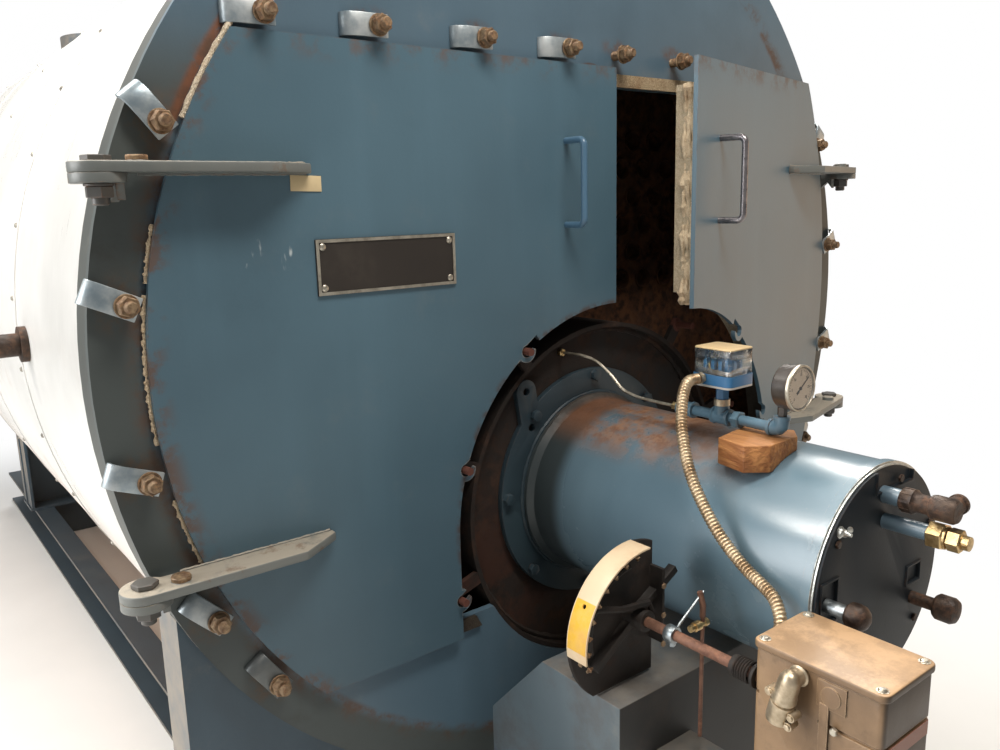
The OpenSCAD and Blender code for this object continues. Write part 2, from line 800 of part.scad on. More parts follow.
// End plate with a shallow framed recess at its top and two framed ports
burner_face = -burner_l - end_t;
module port(x, z, w, h) {
  translate([x, burner_face, z]) {
    difference() {
      translate([-4, -3, -4]) cube([w + 8, 6, h + 8]);
      translate([0, -4, 0]) cube([w, 8, h]);
    }
  }
}
module burner_end_plate() {
  color(blue) at_burner() difference() {
    union() {
      bar_y(burner_face, -burner_l, burner_r - 2);
      port(-184, -30, 44, 70);
      port(94, -42, 44, 32);
      intersection() {
        port(-30, 160, 116, 50);
        bar_y(burner_face - 3, -burner_l, burner_r - 2);
      }
    }
    translate([-184, burner_face - 4, -30]) cube([44, 8, 70]);
    translate([94, burner_face - 4, -42]) cube([44, 8, 32]);
    translate([-30, burner_face - 4, 160]) cube([116, 8, 60]);
    translate([-3, 0, 152]) bar_y(burner_face - 10, burner_face, 15.3, 32);
  }
}

// Pipe nipples and their fittings on the end plate
module burner_fittings() {
  color(brass) at_burner() {
    translate([-3, 0, 152]) {
      bar_y(burner_face - 32, burner_face, 15, 32);
      bar_y(burner_face - 56, burner_face - 32, 21, 8);
      bar_y(burner_face - 84, burner_face - 56, 17, 32);
      bar_y(burner_face - 122, burner_face - 84, 21, 32);
      translate([0, burner_face - 103, 0]) rotate([0, 90, 0]) cylinder(h = 44, r = 16, $fn = 32);
    }
    translate([2, 0, 104]) {
      bar_y(burner_face - 76, burner_face, 14, 32);
      bar_y(burner_face - 118, burner_face - 76, 24, 6);
      bar_y(burner_face - 142, burner_face - 118, 20, 6);
    }
    translate([-163, 0, 0]) {
      bar_y(burner_face - 36, burner_face + 4, 12, 32);
      bar_y(burner_face - 62, burner_face - 36, 22, 32);
      bar_y(burner_face - 72, burner_face - 62, 15, 32);
    }
    translate([118, 0, -74]) {
      bar_y(burner_face - 44, burner_face, 12, 32);
      bar_y(burner_face - 84, burner_face - 44, 24, 32);
    }
  }
}

// Sheet metal box that feeds the burner with air, its back sloping down and away
module air_box() {
  color(blue) difference() {
    translate([-air_left, 0, centre_h]) rotate([90, 0, 90]) linear_extrude(height = air_left + burner_x + 190)
      polygon([[-air_front, -air_top], [-270, -air_top], [-110, -air_top - 170], [-110, -air_top - air_h],
               [-air_front, -air_top - air_h]]);
    at_burner() bar_y(-air_front - 10, 0, burner_r + 0.3);
  }
}

cam_y = -425;
module at_cam() { translate([-cam_x, 0, centre_h - cam_drop]) children(); }
module cam_bracket() {
  color(blue) {
    translate([-cam_x - 70, -405, centre_h - air_top + 0.2]) cube([130, 60, 8]);
    difference() {
      translate([-cam_x - 45, -399, centre_h - air_top + 8.2]) cube([90, 8, air_top - cam_drop + 20]);
      at_cam() bar_y(cam_y, 0, shaft_d / 2 + 0.3, 32);
    }
  }
}

// Deep dished plate behind the cam's rim, cut off to the right, with a hub and two stiffening ribs
module cam_dish() {
  color(black) at_cam() difference() {
    union() {
      plate(cam_y + 4, 8) intersection() {
        translate([0, -band_drop]) circle(cam_r - 3.2, $fn = 128);
        translate([-cam_r, -air_top + cam_drop + 6]) square([cam_r + 55, 2 * cam_r]);
      }
      bar_y(cam_y - 36, cam_y + 20, 19, 32);
      translate([49, cam_y - 26, -62]) cube([6, 30, 140]);
      for (a = [-35, 150]) rotate([0, a, 0]) translate([-118, cam_y - 12, -7]) cube([102, 16.2, 14]);
    }
    bar_y(cam_y - 60, cam_y + 60, shaft_d / 2 + 0.3, 32);
  }
}

// The cam's flexible rim band, held by a row of screws
module cam_band() {
  color(cream) at_cam() difference() {
    intersection() {
      translate([0, 0, -band_drop]) pipe_y(cam_y - cam_band_w + 8, cam_y + 8, cam_r, 3);
      translate([0, cam_y + 60, 0]) rotate([90, 0, 0]) linear_extrude(height = 160)
        polygon([[0, 0], [8, 300], [-300, 300], [-300, -60]]);
    }
    translate([0, cam_y - 14, -band_drop]) rotate([0, -60, 0]) cylinder(h = 400, r = 4, $fn = 24);
  }
}

// Shaft from the drive motor to the cam, with a clamped collar, its screw and the motor's coupling
module cam_shaft() {
  color(rust) at_cam() {
    bar_y(motor_y0 + motor_l, cam_y + 40, shaft_d / 2, 32);
    bar_y(motor_y0 + motor_l, motor_y0 + motor_l + 40, 20, 32);
    difference() {
      union() {
        bar_y(-526, -504, 14, 32);
        translate([-6, -524, -24]) cube([12, 18, 16]);
        rotate([0, 57, 0]) translate([-4, -517, 8]) cube([8, 3, 88]);
      }
      bar_y(-570, -480, shaft_d / 2 - 0.1, 32);
    }
  }
}

motor_x0 = -283;
motor_y0 = -886;
// A box with rounded upright corners
module rounded_box(w, l, h, r) {
  linear_extrude(height = h) {
    translate([r, 0]) square([w - 2 * r, l]);
    translate([0, r]) square([w, l - 2 * r]);
    for (x = [r, w - r]) for (y = [r, l - r]) translate([x, y]) circle(r, $fn = 32);
  }
}

// Cast case in two parts with a narrow joint between them, a rib and a bare boss for a conduit
module drive_motor() {
  color(cast) translate([motor_x0, motor_y0, centre_h - motor_drop]) {
    translate([0, 0, -motor_h]) rounded_box(motor_w, motor_l, motor_h - lid_t - 0.2, 10);
    translate([5, 5, -motor_h - 6]) rounded_box(motor_w - 10, motor_l - 10, 6, 8);
    translate([0, 0, -motor_h - 6 - motor_low]) rounded_box(motor_w, motor_l, motor_low, 10);
    translate([0, 94, -motor_h - 6 - motor_low]) cube([12, motor_l - 104, motor_low + 6]);
    translate([-5, 76, -motor_h - 6 - 100]) cube([12, 14, 136]);
    translate([-3, 52, -56]) cube([10, 44, 40]);
    translate([-3, 74, -36]) rotate([0, -90, 0]) cylinder(h = 2, r = 15, $fn = 48);
  }
}

module motor_lid() {
  color(cast) translate([motor_x0 - 4, motor_y0 - 4, centre_h - motor_drop - lid_t])
    rounded_box(motor_w + 8, motor_l + 8, lid_t, 14);
}

// Bent bar from the air box's front to the foot of the drive motor
module motor_bracket() {
  color(blue) translate([motor_x0 + 10, 0, centre_h - motor_drop - motor_h - 6 - motor_low]) {
    translate([0, motor_y0 + 30, -10.2]) cube([motor_w - 20, -motor_y0 - air_front - 30, 10]);
    translate([0, -air_front - 10, -100]) cube([motor_w - 20, 9.8, 90]);
  }
}

// Connectors of the armoured conduits: two on the drive motor and one on the switch
module conduit_connector() {
  color(steel) {
    translate([motor_x0, motor_y0 + 124, centre_h - 405]) {
      rotate([0, -90, 0]) cylinder(h = connector_out, r = 12, $fn = 32);
      translate([-connector_out, 0, 0]) {
        sphere(r = 17, $fn = 48);
        rotate([180 + 14, 0, 0]) {
          cylinder(h = 44, r = 15, $fn = 32);
          translate([0, 0, 30]) cylinder(h = connector_l, r = 18, $fn = 32);
        }
      }
    }
    translate([-180, 0, centre_h - 420]) bar_y(motor_y0 + motor_l, motor_y0 + motor_l + 13.5, 15, 32);
    translate([pipe_x - 38 - 16, -365, centre_h - 72]) rotate([0, 90, 0]) cylinder(h = 16, r = 11, $fn = 32);
  }
}

// Wooden rest under the gauge pipe, bedded on the burner, its front corners cut off
module pipe_rest() {
  color([0.55, 0.33, 0.16]) difference() {
    translate([0, 0, centre_h - 216]) linear_extrude(height = pipe_z - 16.2 - centre_h + 216)
      polygon([[-58, -436], [-72, -502], [-36, -532], [48, -530], [84, -500], [44, -420]]);
    at_burner() bar_y(-600, -400, burner_r + 0.2);
  }
}

// Pipe with a union under the switch, and an elbow that carries the gauge
pipe_x = 20;
pipe_z = centre_h - 150;
gauge_y = -515;
module gauge_manifold() {
  color(blue) translate([pipe_x, 0, pipe_z]) {
    bar_y(gauge_y, -290, 10.5, 32);
    for (y = [-300, -383]) translate([0, y, 0]) bar_y(-19, 19, 16, 32);
    translate([0, -420, 0]) bar_y(-8, 8, 17, 6);
    translate([0, gauge_y + 12, 0]) bar_y(-12, 14, 15, 32);
    translate([0, gauge_y, 0]) sphere(r = 15, $fn = 48);
    translate([0, -383, 0]) cylinder(h = 34, r = 13, $fn = 32);
    translate([0, gauge_y, 0]) cylinder(h = 24, r = 14, $fn = 32);
  }
}

// Round case on its stem, with a wide rim round the dial
module pressure_gauge() {
  color(black) translate([pipe_x, gauge_y, pipe_z + 24]) {
    cylinder(h = 24, r = 9, $fn = 6);
    translate([0, 0, 56]) {
      bar_y(-34, 2, 40);
      bar_y(-37, -27, 42);
    }
  }
}

module switch_base() {
  color([0.1, 0.35, 0.6]) translate([pipe_x, -383, pipe_z + 34]) {
    cylinder(h = 28, r = 15, $fn = 6);
    translate([-38, -45, 28]) cube([76, 90, 24]);
  }
}

module switch_cover() {
  color([0.8, 0.78, 0.7]) translate([pipe_x - 36, -383 - 43, pipe_z + 34 + 52]) cube([72, 86, 50]);
}

// A round tube along a route of points, as one skin
function unit(v) = v / norm(v);
function heading(p, i) = unit(p[min(i + 1, len(p) - 1)] - p[max(i - 1, 0)]);
function side_of(t) = unit(cross(t, abs(t[2]) > 0.9 ? [1, 0, 0] : [0, 0, 1]));
function ring(p, i, r, n) = let (t = heading(p, i), a = side_of(t), b = cross(a, t))
  [for (k = [0 : n - 1]) p[i] + r * (cos(360 * k / n) * a + sin(360 * k / n) * b)];
function spline(q, s) = [for (i = [0 : len(q) - 2]) for (k = [0 : s - 1])
  let (u = k / s, a = q[max(i - 1, 0)], b = q[i], c = q[i + 1], d = q[min(i + 2, len(q) - 1)])
    ((2 * b) + (c - a) * u + (2 * a - 5 * b + 4 * c - d) * u * u + (3 * b - a - 3 * c + d) * u * u * u) / 2,
  q[len(q) - 1]];
module swept(p, r, n = 8) {
  m = len(p);
  polyhedron(
    points = [for (i = [0 : m - 1]) each ring(p, i, r, n)],
    faces = concat([[for (k = [0 : n - 1]) k]], [[for (k = [n - 1 : -1 : 0]) (m - 1) * n + k]],
      [for (i = [0 : m - 2]) for (k = [0 : n - 1])
        [i * n + k, (i + 1) * n + k, (i + 1) * n + (k + 1) % n, i * n + (k + 1) % n]]));
}

// Routes are written from the boiler's centre line
sensing_route = [
  [-13, furnace_front - 0.3, -73], [-13, furnace_front - 16, -73], [-12, 0, -72.5], [-8, -26, -73],
  [4, -56, -83], [12, -92, -108], [13, -128, -136], [16, -165, -146], [19, -210, -149.5],
  [20, -262, -150], [20, -272, -150], [20, -280.7, -150]
];
module sensing_tube() { color(steel) at_centre() swept(spline(sensing_route, 5), 3.2); }

flex_route = [
  [-34.4, -365, -72], [-42, -365, -72], [-52, -365, -72], [-66, -368, -76], [-82, -374, -90],
  [-98, -384, -114], [-112, -396, -143], [-124, -412, -172], [-135, -430, -200], [-144, -452, -230],
  [-149, -478, -262], [-149, -505, -296], [-147, -535, -327], [-148, -572, -352], [-152, -606, -366],
  [-158, -632, -378], [-168, -650, -396], [-177, -658, -414], [-180, -662, -420], [-180, -672.1, -420]
];
module flex_conduit() { color(cream) at_centre() swept(spline(flex_route, 5), 11); }

front_plate();
front_rim();
opening_gasket();
smokebox_barrel();
boiler_shell();
front_tube_sheet();
rear_tube_sheet();
fire_tubes();
furnace_drum();
furnace_front();
shell_jacket();
jacket_bands();
rear_cover();
rear_box_barrel();
flue_outlet();
steam_outlet();
valve_outlets();
side_nozzle();
front_saddle();
rear_saddle();
skid_rails();
skid_crossbars();
left_hinge_brackets();
right_hinge_brackets();
left_hinge_pins();
right_hinge_pins();
top_studs();
top_clamps();
side_studs();
side_clamps();
left_door_plate();
left_door_lining();
left_door_straps();
left_door_handle();
name_plate();
right_door_plate();
right_door_lining();
right_door_straps();
right_door_handle();
burner_flange();
burner_housing();
burner_end_plate();
burner_fittings();
air_box();
cam_bracket();
cam_dish();
cam_band();
cam_shaft();
drive_motor();
motor_lid();
motor_bracket();
conduit_connector();
pipe_rest();
gauge_manifold();
pressure_gauge();
switch_base();
switch_cover();
sensing_tube();
flex_conduit();
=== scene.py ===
import math
import random

import bmesh
import bpy
from mathutils import Matrix, Vector


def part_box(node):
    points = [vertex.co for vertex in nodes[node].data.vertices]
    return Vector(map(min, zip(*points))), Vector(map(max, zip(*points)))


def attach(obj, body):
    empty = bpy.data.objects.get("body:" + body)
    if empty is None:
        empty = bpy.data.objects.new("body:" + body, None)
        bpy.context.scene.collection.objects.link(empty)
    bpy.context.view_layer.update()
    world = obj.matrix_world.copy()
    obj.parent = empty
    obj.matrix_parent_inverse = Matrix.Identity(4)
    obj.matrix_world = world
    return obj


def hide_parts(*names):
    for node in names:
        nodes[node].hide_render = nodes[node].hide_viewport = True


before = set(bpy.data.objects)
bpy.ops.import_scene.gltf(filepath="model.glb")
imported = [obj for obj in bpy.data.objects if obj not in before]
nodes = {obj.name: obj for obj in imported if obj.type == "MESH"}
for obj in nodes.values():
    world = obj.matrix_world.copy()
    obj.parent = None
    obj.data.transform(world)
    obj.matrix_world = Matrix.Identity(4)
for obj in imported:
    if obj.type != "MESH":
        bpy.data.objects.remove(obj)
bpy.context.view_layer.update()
scene = bpy.context.scene


# The camera stands at eye height, left of the boiler, and looks a little down
# at the doors and the burner. Its place was worked out from the photograph.
EYE = Vector((-1.279, -1.374, 1.560))
LOOK_ALONG = Vector((0.599, 0.776, -0.198)).normalized()
LOOK_RIGHT = Vector((0.788, -0.615, -0.025))
LENS = 30.576

camera = bpy.data.objects.new("camera", bpy.data.cameras.new("camera"))
scene.collection.objects.link(camera)
camera.data.sensor_width = 36
camera.data.lens = LENS
camera.data.clip_start = 0.02
camera.data.clip_end = 200
right = (LOOK_RIGHT - LOOK_ALONG * LOOK_RIGHT.dot(LOOK_ALONG)).normalized()
up = right.cross(LOOK_ALONG)
camera.matrix_world = Matrix.Translation(EYE) @ Matrix((right, up, -LOOK_ALONG)).transposed().to_4x4()
scene.camera = camera


# A plain room: a pale floor that fades into white surroundings, and soft lamps
# overhead and to the left, as in a plant room with its lights on.
class Wire:
    """An output of a material's node. Arithmetic on it adds Math nodes."""

    def __init__(self, finish, socket):
        self.finish = finish
        self.socket = socket

    def maths(self, operation, *others):
        return self.finish.node("ShaderNodeMath", {"operation": operation}, [self, *others])

    def __add__(self, other): return self.maths("ADD", other)
    def __mul__(self, other): return self.maths("MULTIPLY", other)
    def __sub__(self, other): return self.maths("SUBTRACT", other)
    def __rsub__(self, other): return self.maths("MULTIPLY_ADD", -1.0, other)
    def __abs__(self): return self.maths("ABSOLUTE")
    __radd__ = __add__
    __rmul__ = __mul__

    def most(self, other): return self.maths("MAXIMUM", other)
    def capped(self): return self.maths("MINIMUM", 1.0)

    def fade(self, low, high, at_low=0.0, at_high=1.0):
        """at_low below low, at_high above high, smooth between."""
        return self.finish.node("ShaderNodeMapRange", {"interpolation_type": "SMOOTHSTEP"},
                                [self, low, high, at_low, at_high])


class Finish:
    """A material with one Principled shader, made of nodes."""

    def __init__(self, name):
        self.material = bpy.data.materials.new(name)
        self.material.use_nodes = True
        self.tree = self.material.node_tree
        self.shader = self.tree.nodes["Principled BSDF"]
        self.place = self.node("ShaderNodeTexCoord", out="Object")

    def node(self, kind, settings=None, sockets=(), out=0):
        made = self.tree.nodes.new(kind)
        for key, value in (settings or {}).items():
            setattr(made, key, value)
        items = sockets.items() if isinstance(sockets, dict) else enumerate(sockets)
        for key, value in items:
            self.feed(made.inputs[key], value)
        return Wire(self, made.outputs[out])

    def feed(self, socket, value):
        if isinstance(value, Wire):
            self.tree.links.new(value.socket, socket)
        elif isinstance(value, tuple) and len(value) == 3 and len(socket.default_value) == 4:
            socket.default_value = (*value, 1)
        else:
            socket.default_value = value

    def noise(self, scale, detail=3.0, roughness=0.55, stretch=None, distortion=0.0, shift=None):
        place = self.place
        if stretch or shift:
            place = self.node("ShaderNodeMapping", sockets={
                "Vector": place, "Scale": stretch or (1, 1, 1), "Location": shift or (0, 0, 0)})
        return self.node("ShaderNodeTexNoise", sockets={
            "Vector": place, "Scale": scale, "Detail": detail, "Roughness": roughness,
            "Distortion": distortion})

    def axis(self, name):
        return self.node("ShaderNodeSeparateXYZ", sockets=[self.place], out=name)

    def facing(self, name):
        """The X, Y or Z of the direction that the surface faces."""
        normal = self.node("ShaderNodeNewGeometry", out="Normal")
        return self.node("ShaderNodeSeparateXYZ", sockets=[normal], out=name)

    def mix(self, factor, below, above):
        return self.node("ShaderNodeMix", {"data_type": "RGBA"}, {0: factor, 6: below, 7: above}, out=2)

    def bump(self, height, distance, strength=1.0):
        return self.node("ShaderNodeBump", sockets={"Height": height, "Distance": distance,
                                                   "Strength": strength})

    def edges(self, radius, low=0.02, high=0.25):
        """1 on outside and inside edges, 0 on flat places."""
        soft = self.node("ShaderNodeBevel", {"samples": 4}, {"Radius": radius})
        plain = self.node("ShaderNodeNewGeometry", out="Normal")
        along = self.node("ShaderNodeVectorMath", {"operation": "DOT_PRODUCT"}, [soft, plain], out="Value")
        return (1 - along).fade(low, high)

    def near(self, spot, radius, soft=0.3, flat=(1, 1, 1)):
        """1 around a spot, fading out to 0 at the radius. flat squeezes the round shape."""
        offset = self.node("ShaderNodeVectorMath", {"operation": "SUBTRACT"}, [self.place, spot])
        offset = self.node("ShaderNodeVectorMath", {"operation": "MULTIPLY"}, [offset, flat])
        apart = self.node("ShaderNodeVectorMath", {"operation": "LENGTH"}, [offset], out="Value")
        return apart.fade(radius * soft, radius, 1.0, 0.0)

    def away_from(self, spot):
        """How far the surface is from a spot."""
        return self.node("ShaderNodeVectorMath", {"operation": "DISTANCE"}, [self.place, spot], out="Value")

    def shine(self, **values):
        """Sets or feeds sockets of the shader, by their names."""
        for key, value in values.items():
            self.feed(self.shader.inputs[key.replace("_", " ")], value)
        return self

    def colour_so_far(self):
        """The colour that is fed by now, to lay more over it."""
        return Wire(self, self.shader.inputs["Base Color"].links[0].from_socket)


def srgb(r, g, b):
    """A colour written 0 to 255, as linear light."""
    return tuple((c / 255 / 12.92) if c <= 10 else ((c / 255 + 0.055) / 1.055) ** 2.4 for c in (r, g, b))


FILL_LIGHT = 0.24
scene.view_settings.view_transform = "Standard"
world = bpy.data.worlds.new("room")
scene.world = world
world.use_nodes = True
tree = world.node_tree
paths = tree.nodes.new("ShaderNodeLightPath")
seen = tree.nodes.new("ShaderNodeMath")
seen.operation = "MAXIMUM"
tree.links.new(paths.outputs["Is Camera Ray"], seen.inputs[0])
tree.links.new(paths.outputs["Is Transmission Ray"], seen.inputs[1])
light_level = tree.nodes.new("ShaderNodeMapRange")
light_level.inputs["To Min"].default_value = FILL_LIGHT
light_level.inputs["To Max"].default_value = 1.0
tree.links.new(seen.outputs[0], light_level.inputs["Value"])
sky = tree.nodes["Background"]
sky.inputs["Color"].default_value = (1, 1, 1, 1)
tree.links.new(light_level.outputs[0], sky.inputs["Strength"])

mesh = bmesh.new()
bmesh.ops.create_grid(mesh, x_segments=2, y_segments=2, size=60)
floor_mesh = bpy.data.meshes.new("floor")
mesh.to_mesh(floor_mesh)
mesh.free()
floor = bpy.data.objects.new("floor", floor_mesh)
floor_mesh.transform(Matrix.Translation((0, 2, -0.001)))
scene.collection.objects.link(floor)
floor_paint = Finish("floor_paint")
floor_tone = floor_paint.noise(0.8, 4).fade(0.3, 0.7)
floor_paint.shine(
    Base_Color=floor_paint.mix(floor_tone, srgb(222, 222, 220), srgb(232, 232, 230)),
    Roughness=0.75)
SHADOW_MIDDLE = 1.45
SHADOW_HALF_WIDTH = 0.85
SHADOW_HALF_LENGTH = 2.25
aside = (abs(floor_paint.axis("X")) - SHADOW_HALF_WIDTH).most(0.0)
beyond = (abs(floor_paint.axis("Y") - SHADOW_MIDDLE) - SHADOW_HALF_LENGTH).most(0.0)
away = (aside + beyond).fade(0.15, 1.7)
glow = floor_paint.node("ShaderNodeEmission", sockets={"Color": (1.0, 1.0, 1.0), "Strength": 1.0},
                        out="Emission")
looked_at = floor_paint.node("ShaderNodeLightPath", out="Is Camera Ray")
blended = floor_paint.node("ShaderNodeMixShader", sockets=[away * looked_at])
floor_paint.tree.links.new(floor_paint.shader.outputs[0], blended.socket.node.inputs[1])
floor_paint.tree.links.new(glow.socket, blended.socket.node.inputs[2])
floor_paint.tree.links.new(blended.socket, floor_paint.tree.nodes["Material Output"].inputs["Surface"])
floor_mesh.materials.append(floor_paint.material)


def lamp(name, place, aim, width, height, power, colour=(1, 1, 1)):
    """An area lamp at a place, turned to what it is aimed at."""
    data = bpy.data.lights.new(name, "AREA")
    data.shape = "RECTANGLE"
    data.size = width
    data.size_y = height
    data.energy = power
    data.color = colour
    made = bpy.data.objects.new(name, data)
    made.location = place
    made.rotation_mode = "QUATERNION"
    made.rotation_quaternion = (Vector(aim) - Vector(place)).to_track_quat("-Z", "Y")
    scene.collection.objects.link(made)


WARM = (1.0, 0.95, 0.88)
lamp("front_tubes", (-0.35, -1.15, 3.5), (-0.2, -0.7, 1.0), 1.3, 0.5, 62, WARM)
lamp("left_tubes", (-2.05, 0.90, 3.5), (-0.1, -0.5, 1.0), 0.14, 1.2, 62, WARM)
lamp("right_tubes", (1.95, 0.80, 3.5), (0.0, -0.5, 1.0), 0.14, 1.2, 62, WARM)
lamp("ceiling", (-0.3, 1.7, 4.6), (0.0, 0.0, 1.0), 3.6, 2.4, 170, (1.0, 0.97, 0.92))
lamp("left_window", (-5.0, 1.3, 2.4), (-0.9, 0.9, 1.4), 3.0, 3.0, 235)
lamp("rear_fill", (1.6, 7.2, 3.4), (0.0, 3.4, 1.2), 2.0, 2.0, 110)
lamp("right_card", (3.7, -1.3, 1.4), (0.8, -0.2, 1.3), 2.4, 2.2, 24, (1.0, 0.66, 0.38))


# The shell: a front plate inside a hoop rim, of welded mill plate under blue
# enamel. The hoop's face has gone grey and rusty where the clamps were worked.
def dress(finish, *names):
    """Puts a finish on nodes of the CAD model."""
    for name in names:
        slots = nodes[name].data.materials
        if len(slots) == 0:
            slots.append(finish.material)
        for i in range(len(slots)):
            slots[i] = finish.material


RUST_DARK = srgb(74, 48, 34)
RUST_LIGHT = srgb(140, 92, 56)
DUST = srgb(158, 148, 130)


def paint(name, colour, shade, rust=0.2, worn=0.6, gloss=0.36, dirt=0.3, edge=0.003, extra=None, coat=0.1):
    """Brushed enamel: clouds of tone, hand marks, grime and chipped rusty edges.
    extra takes the finish and gives (mask, colour) pairs that are laid over it."""
    f = Finish(name)
    clouds = f.noise(1.3, 4).fade(0.3, 0.7)
    body = f.mix(clouds, shade, colour)
    runs = f.noise(2.6, 4, stretch=(4.0, 4.0, 0.45)).fade(0.45, 0.8)
    body = f.mix(runs * 0.16, body, tuple(c * 1.45 for c in colour))
    smears = f.noise(7, 5, 0.7).fade(0.55, 0.82)
    body = f.mix(smears * dirt * 0.4, body, DUST)
    grime = f.noise(2.1, 6, 0.65, shift=(3, 1, 2)).fade(0.54, 0.8)
    body = f.mix(grime * dirt, body, tuple(c * 0.5 for c in shade))
    chips = f.noise(44, 6, 0.72)
    edges = f.edges(edge) * chips.fade(0.46, 0.62) * worn
    spots = f.noise(23, 8, 0.78).fade(0.76 - 0.12 * rust, 0.83) * rust
    bare = (edges + spots).capped()
    tint = f.mix(f.noise(60, 4).fade(0.3, 0.7), RUST_DARK, RUST_LIGHT)
    body = f.mix(bare, body, tint)
    rough = gloss + clouds * 0.07 + smears * 0.12 + bare * 0.4
    for mask, laid in (extra(f) if extra else ()):
        body = f.mix(mask, body, laid)
        rough = rough + mask * 0.22
    skin = f.noise(150, 2)
    f.shine(Base_Color=body, Roughness=rough,
            Normal=f.bump(skin * 0.22 + clouds * 0.3 - bare * 0.6, 0.0006))
    f.shine(Coat_Roughness=0.3, Coat_Weight=coat)
    return f


CENTRE_H = 1.300
TOP_XS = (-0.690, -0.483, -0.254, -0.040, 0.116, 0.304)
STUD_TOP = 0.566
SIDE_ANGLES = (155.6, 172.6, 189.5, 206.3, 217.3)
STUD_R = 0.951


def plate_marks(f):
    """Rust that runs from the studs, and a grey, rusty line round the doors."""
    marks = []
    ragged = f.noise(26, 6, 0.7).fade(0.4, 0.62)
    for x in TOP_XS:
        rim = f.near((x, 0, CENTRE_H + STUD_TOP + 0.018), 0.040, 0.2, (0.8, 1, 1.6)) * ragged
        marks.append((rim * 0.75, srgb(96, 66, 48)))
        run = f.near((x + 0.004, 0, CENTRE_H + STUD_TOP - 0.026), 0.034, 0.1, (1.4, 1, 0.5)) * ragged
        marks.append((run * 0.4, srgb(104, 76, 56)))
    for x, z in ((-0.6705, 1.8226), (-0.4367, 1.8296), (-0.2037, 1.8302), (0.0439, 1.8369)):
        bar = f.near((x, 0, z), 0.031, 0.75, (1, 1, 2.6)) * f.noise(40, 5, 0.7).fade(0.3, 0.5)
        marks.append((bar * 0.8, srgb(88, 62, 46)))
    round_edge = f.away_from((0, 0, CENTRE_H))
    side = f.axis("Z").fade(CENTRE_H + 0.42, CENTRE_H + 0.60, 1.0, 0.0)
    marks.append((round_edge.fade(0.912, 0.935) * side * 0.9, srgb(62, 66, 62)))
    upper = f.axis("Z").fade(CENTRE_H + 0.36, CENTRE_H + 0.40) * f.axis("X").fade(-0.5, -0.6)
    marks.append((round_edge.fade(0.921, 0.926) * round_edge.fade(0.932, 0.943, 1.0, 0.0) * upper
                  * f.noise(30, 6, 0.7).fade(0.3, 0.45) * 0.95, srgb(112, 66, 38)))
    for angle in SIDE_ANGLES:
        a = math.radians(angle)
        halo = f.near((STUD_R * math.cos(a), 0, CENTRE_H + STUD_R * math.sin(a)), 0.062, 0.35)
        marks.append((halo * ragged * 0.65, srgb(96, 70, 46)))
    door_line = round_edge.fade(0.905, 0.918) * round_edge.fade(0.924, 0.958, 1.0, 0.0)
    marks.append((door_line * f.noise(14, 6, 0.7).fade(0.42, 0.62) * 0.9, srgb(84, 62, 48)))
    marks.append((f.noise(5, 7, 0.7).fade(0.56, 0.72) * round_edge.fade(0.93, 0.97) * 0.5, srgb(52, 50, 47)))
    return marks


plate_paint = paint("plate_paint", srgb(84, 106, 120), srgb(72, 93, 107), rust=0.2, gloss=0.32,
                    extra=plate_marks)
ring_paint = paint("ring_paint", srgb(66, 70, 66), srgb(50, 53, 50), rust=0.5, dirt=0.8, gloss=0.5)
dress(plate_paint, "front_plate")
dress(ring_paint, "front_rim")


def settle(name, mesh, finish, body="boiler", stands_for=(), sharp=34):
    """Makes a bmesh into a piece with its finish, riding on a body."""
    data = bpy.data.meshes.new(name)
    mesh.to_mesh(data)
    mesh.free()
    data.materials.append(finish.material)
    for face in data.polygons:
        face.use_smooth = True
    data.set_sharp_from_angle(angle=math.radians(sharp))
    made = bpy.data.objects.new(name, data)
    scene.collection.objects.link(made)
    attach(made, body)
    if stands_for:
        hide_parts(*stands_for)
    return made


def verts_in(geom):
    """The vertices among what an operator gives back."""
    return [g for g in geom if isinstance(g, bmesh.types.BMVert)]


# A dict keeps each edge or face once and in order, where the order of a set would
# change with each run, and the mesh with it.
def edges_of(verts):
    """The edges that meet some vertices."""
    return list(dict.fromkeys(e for v in verts for e in v.link_edges))


def faces_of(verts):
    """The faces that meet some vertices."""
    return list(dict.fromkeys(f for v in verts for f in v.link_faces))


def swept(mesh, path, radius, sides=10):
    """A round bar along a path; radius is one number, or one for each point."""
    path = [Vector(p) for p in path]
    radii = list(radius) if isinstance(radius, (list, tuple)) else [radius] * len(path)
    ahead = (path[1] - path[0]).normalized()
    turn = ahead.to_track_quat("Z", "Y")
    places = []
    for i, point in enumerate(path):
        now = (path[min(i + 1, len(path) - 1)] - path[max(i - 1, 0)]).normalized()
        turn = ahead.rotation_difference(now) @ turn
        ahead = now
        places.append(Matrix.Translation(point) @ turn.to_matrix().to_4x4() @ Matrix.Scale(radii[i], 4))
    first = bmesh.ops.create_circle(mesh, cap_ends=False, segments=sides, radius=1, matrix=places[0])["verts"]
    made = list(first)
    edges = edges_of(first)
    bmesh.ops.contextual_create(mesh, geom=edges)
    for before, place in zip(places, places[1:]):
        grown = bmesh.ops.extrude_edge_only(mesh, edges=edges)["geom"]
        verts = verts_in(grown)
        edges = [g for g in grown if isinstance(g, bmesh.types.BMEdge)
                 and g.verts[0] in verts and g.verts[1] in verts]
        bmesh.ops.transform(mesh, matrix=place @ before.inverted(), verts=verts)
        made += verts
    bmesh.ops.contextual_create(mesh, geom=edges)
    bmesh.ops.recalc_face_normals(mesh, faces=faces_of(made))


# Fillet weld between the front plate and the hoop: a rough bead laid by hand,
# and painted over with the rest.
def around(centre, radius, angle):
    """The point at an angle on an upright circle that faces the front."""
    return Vector(centre) + Vector((math.cos(angle), 0, math.sin(angle))) * radius


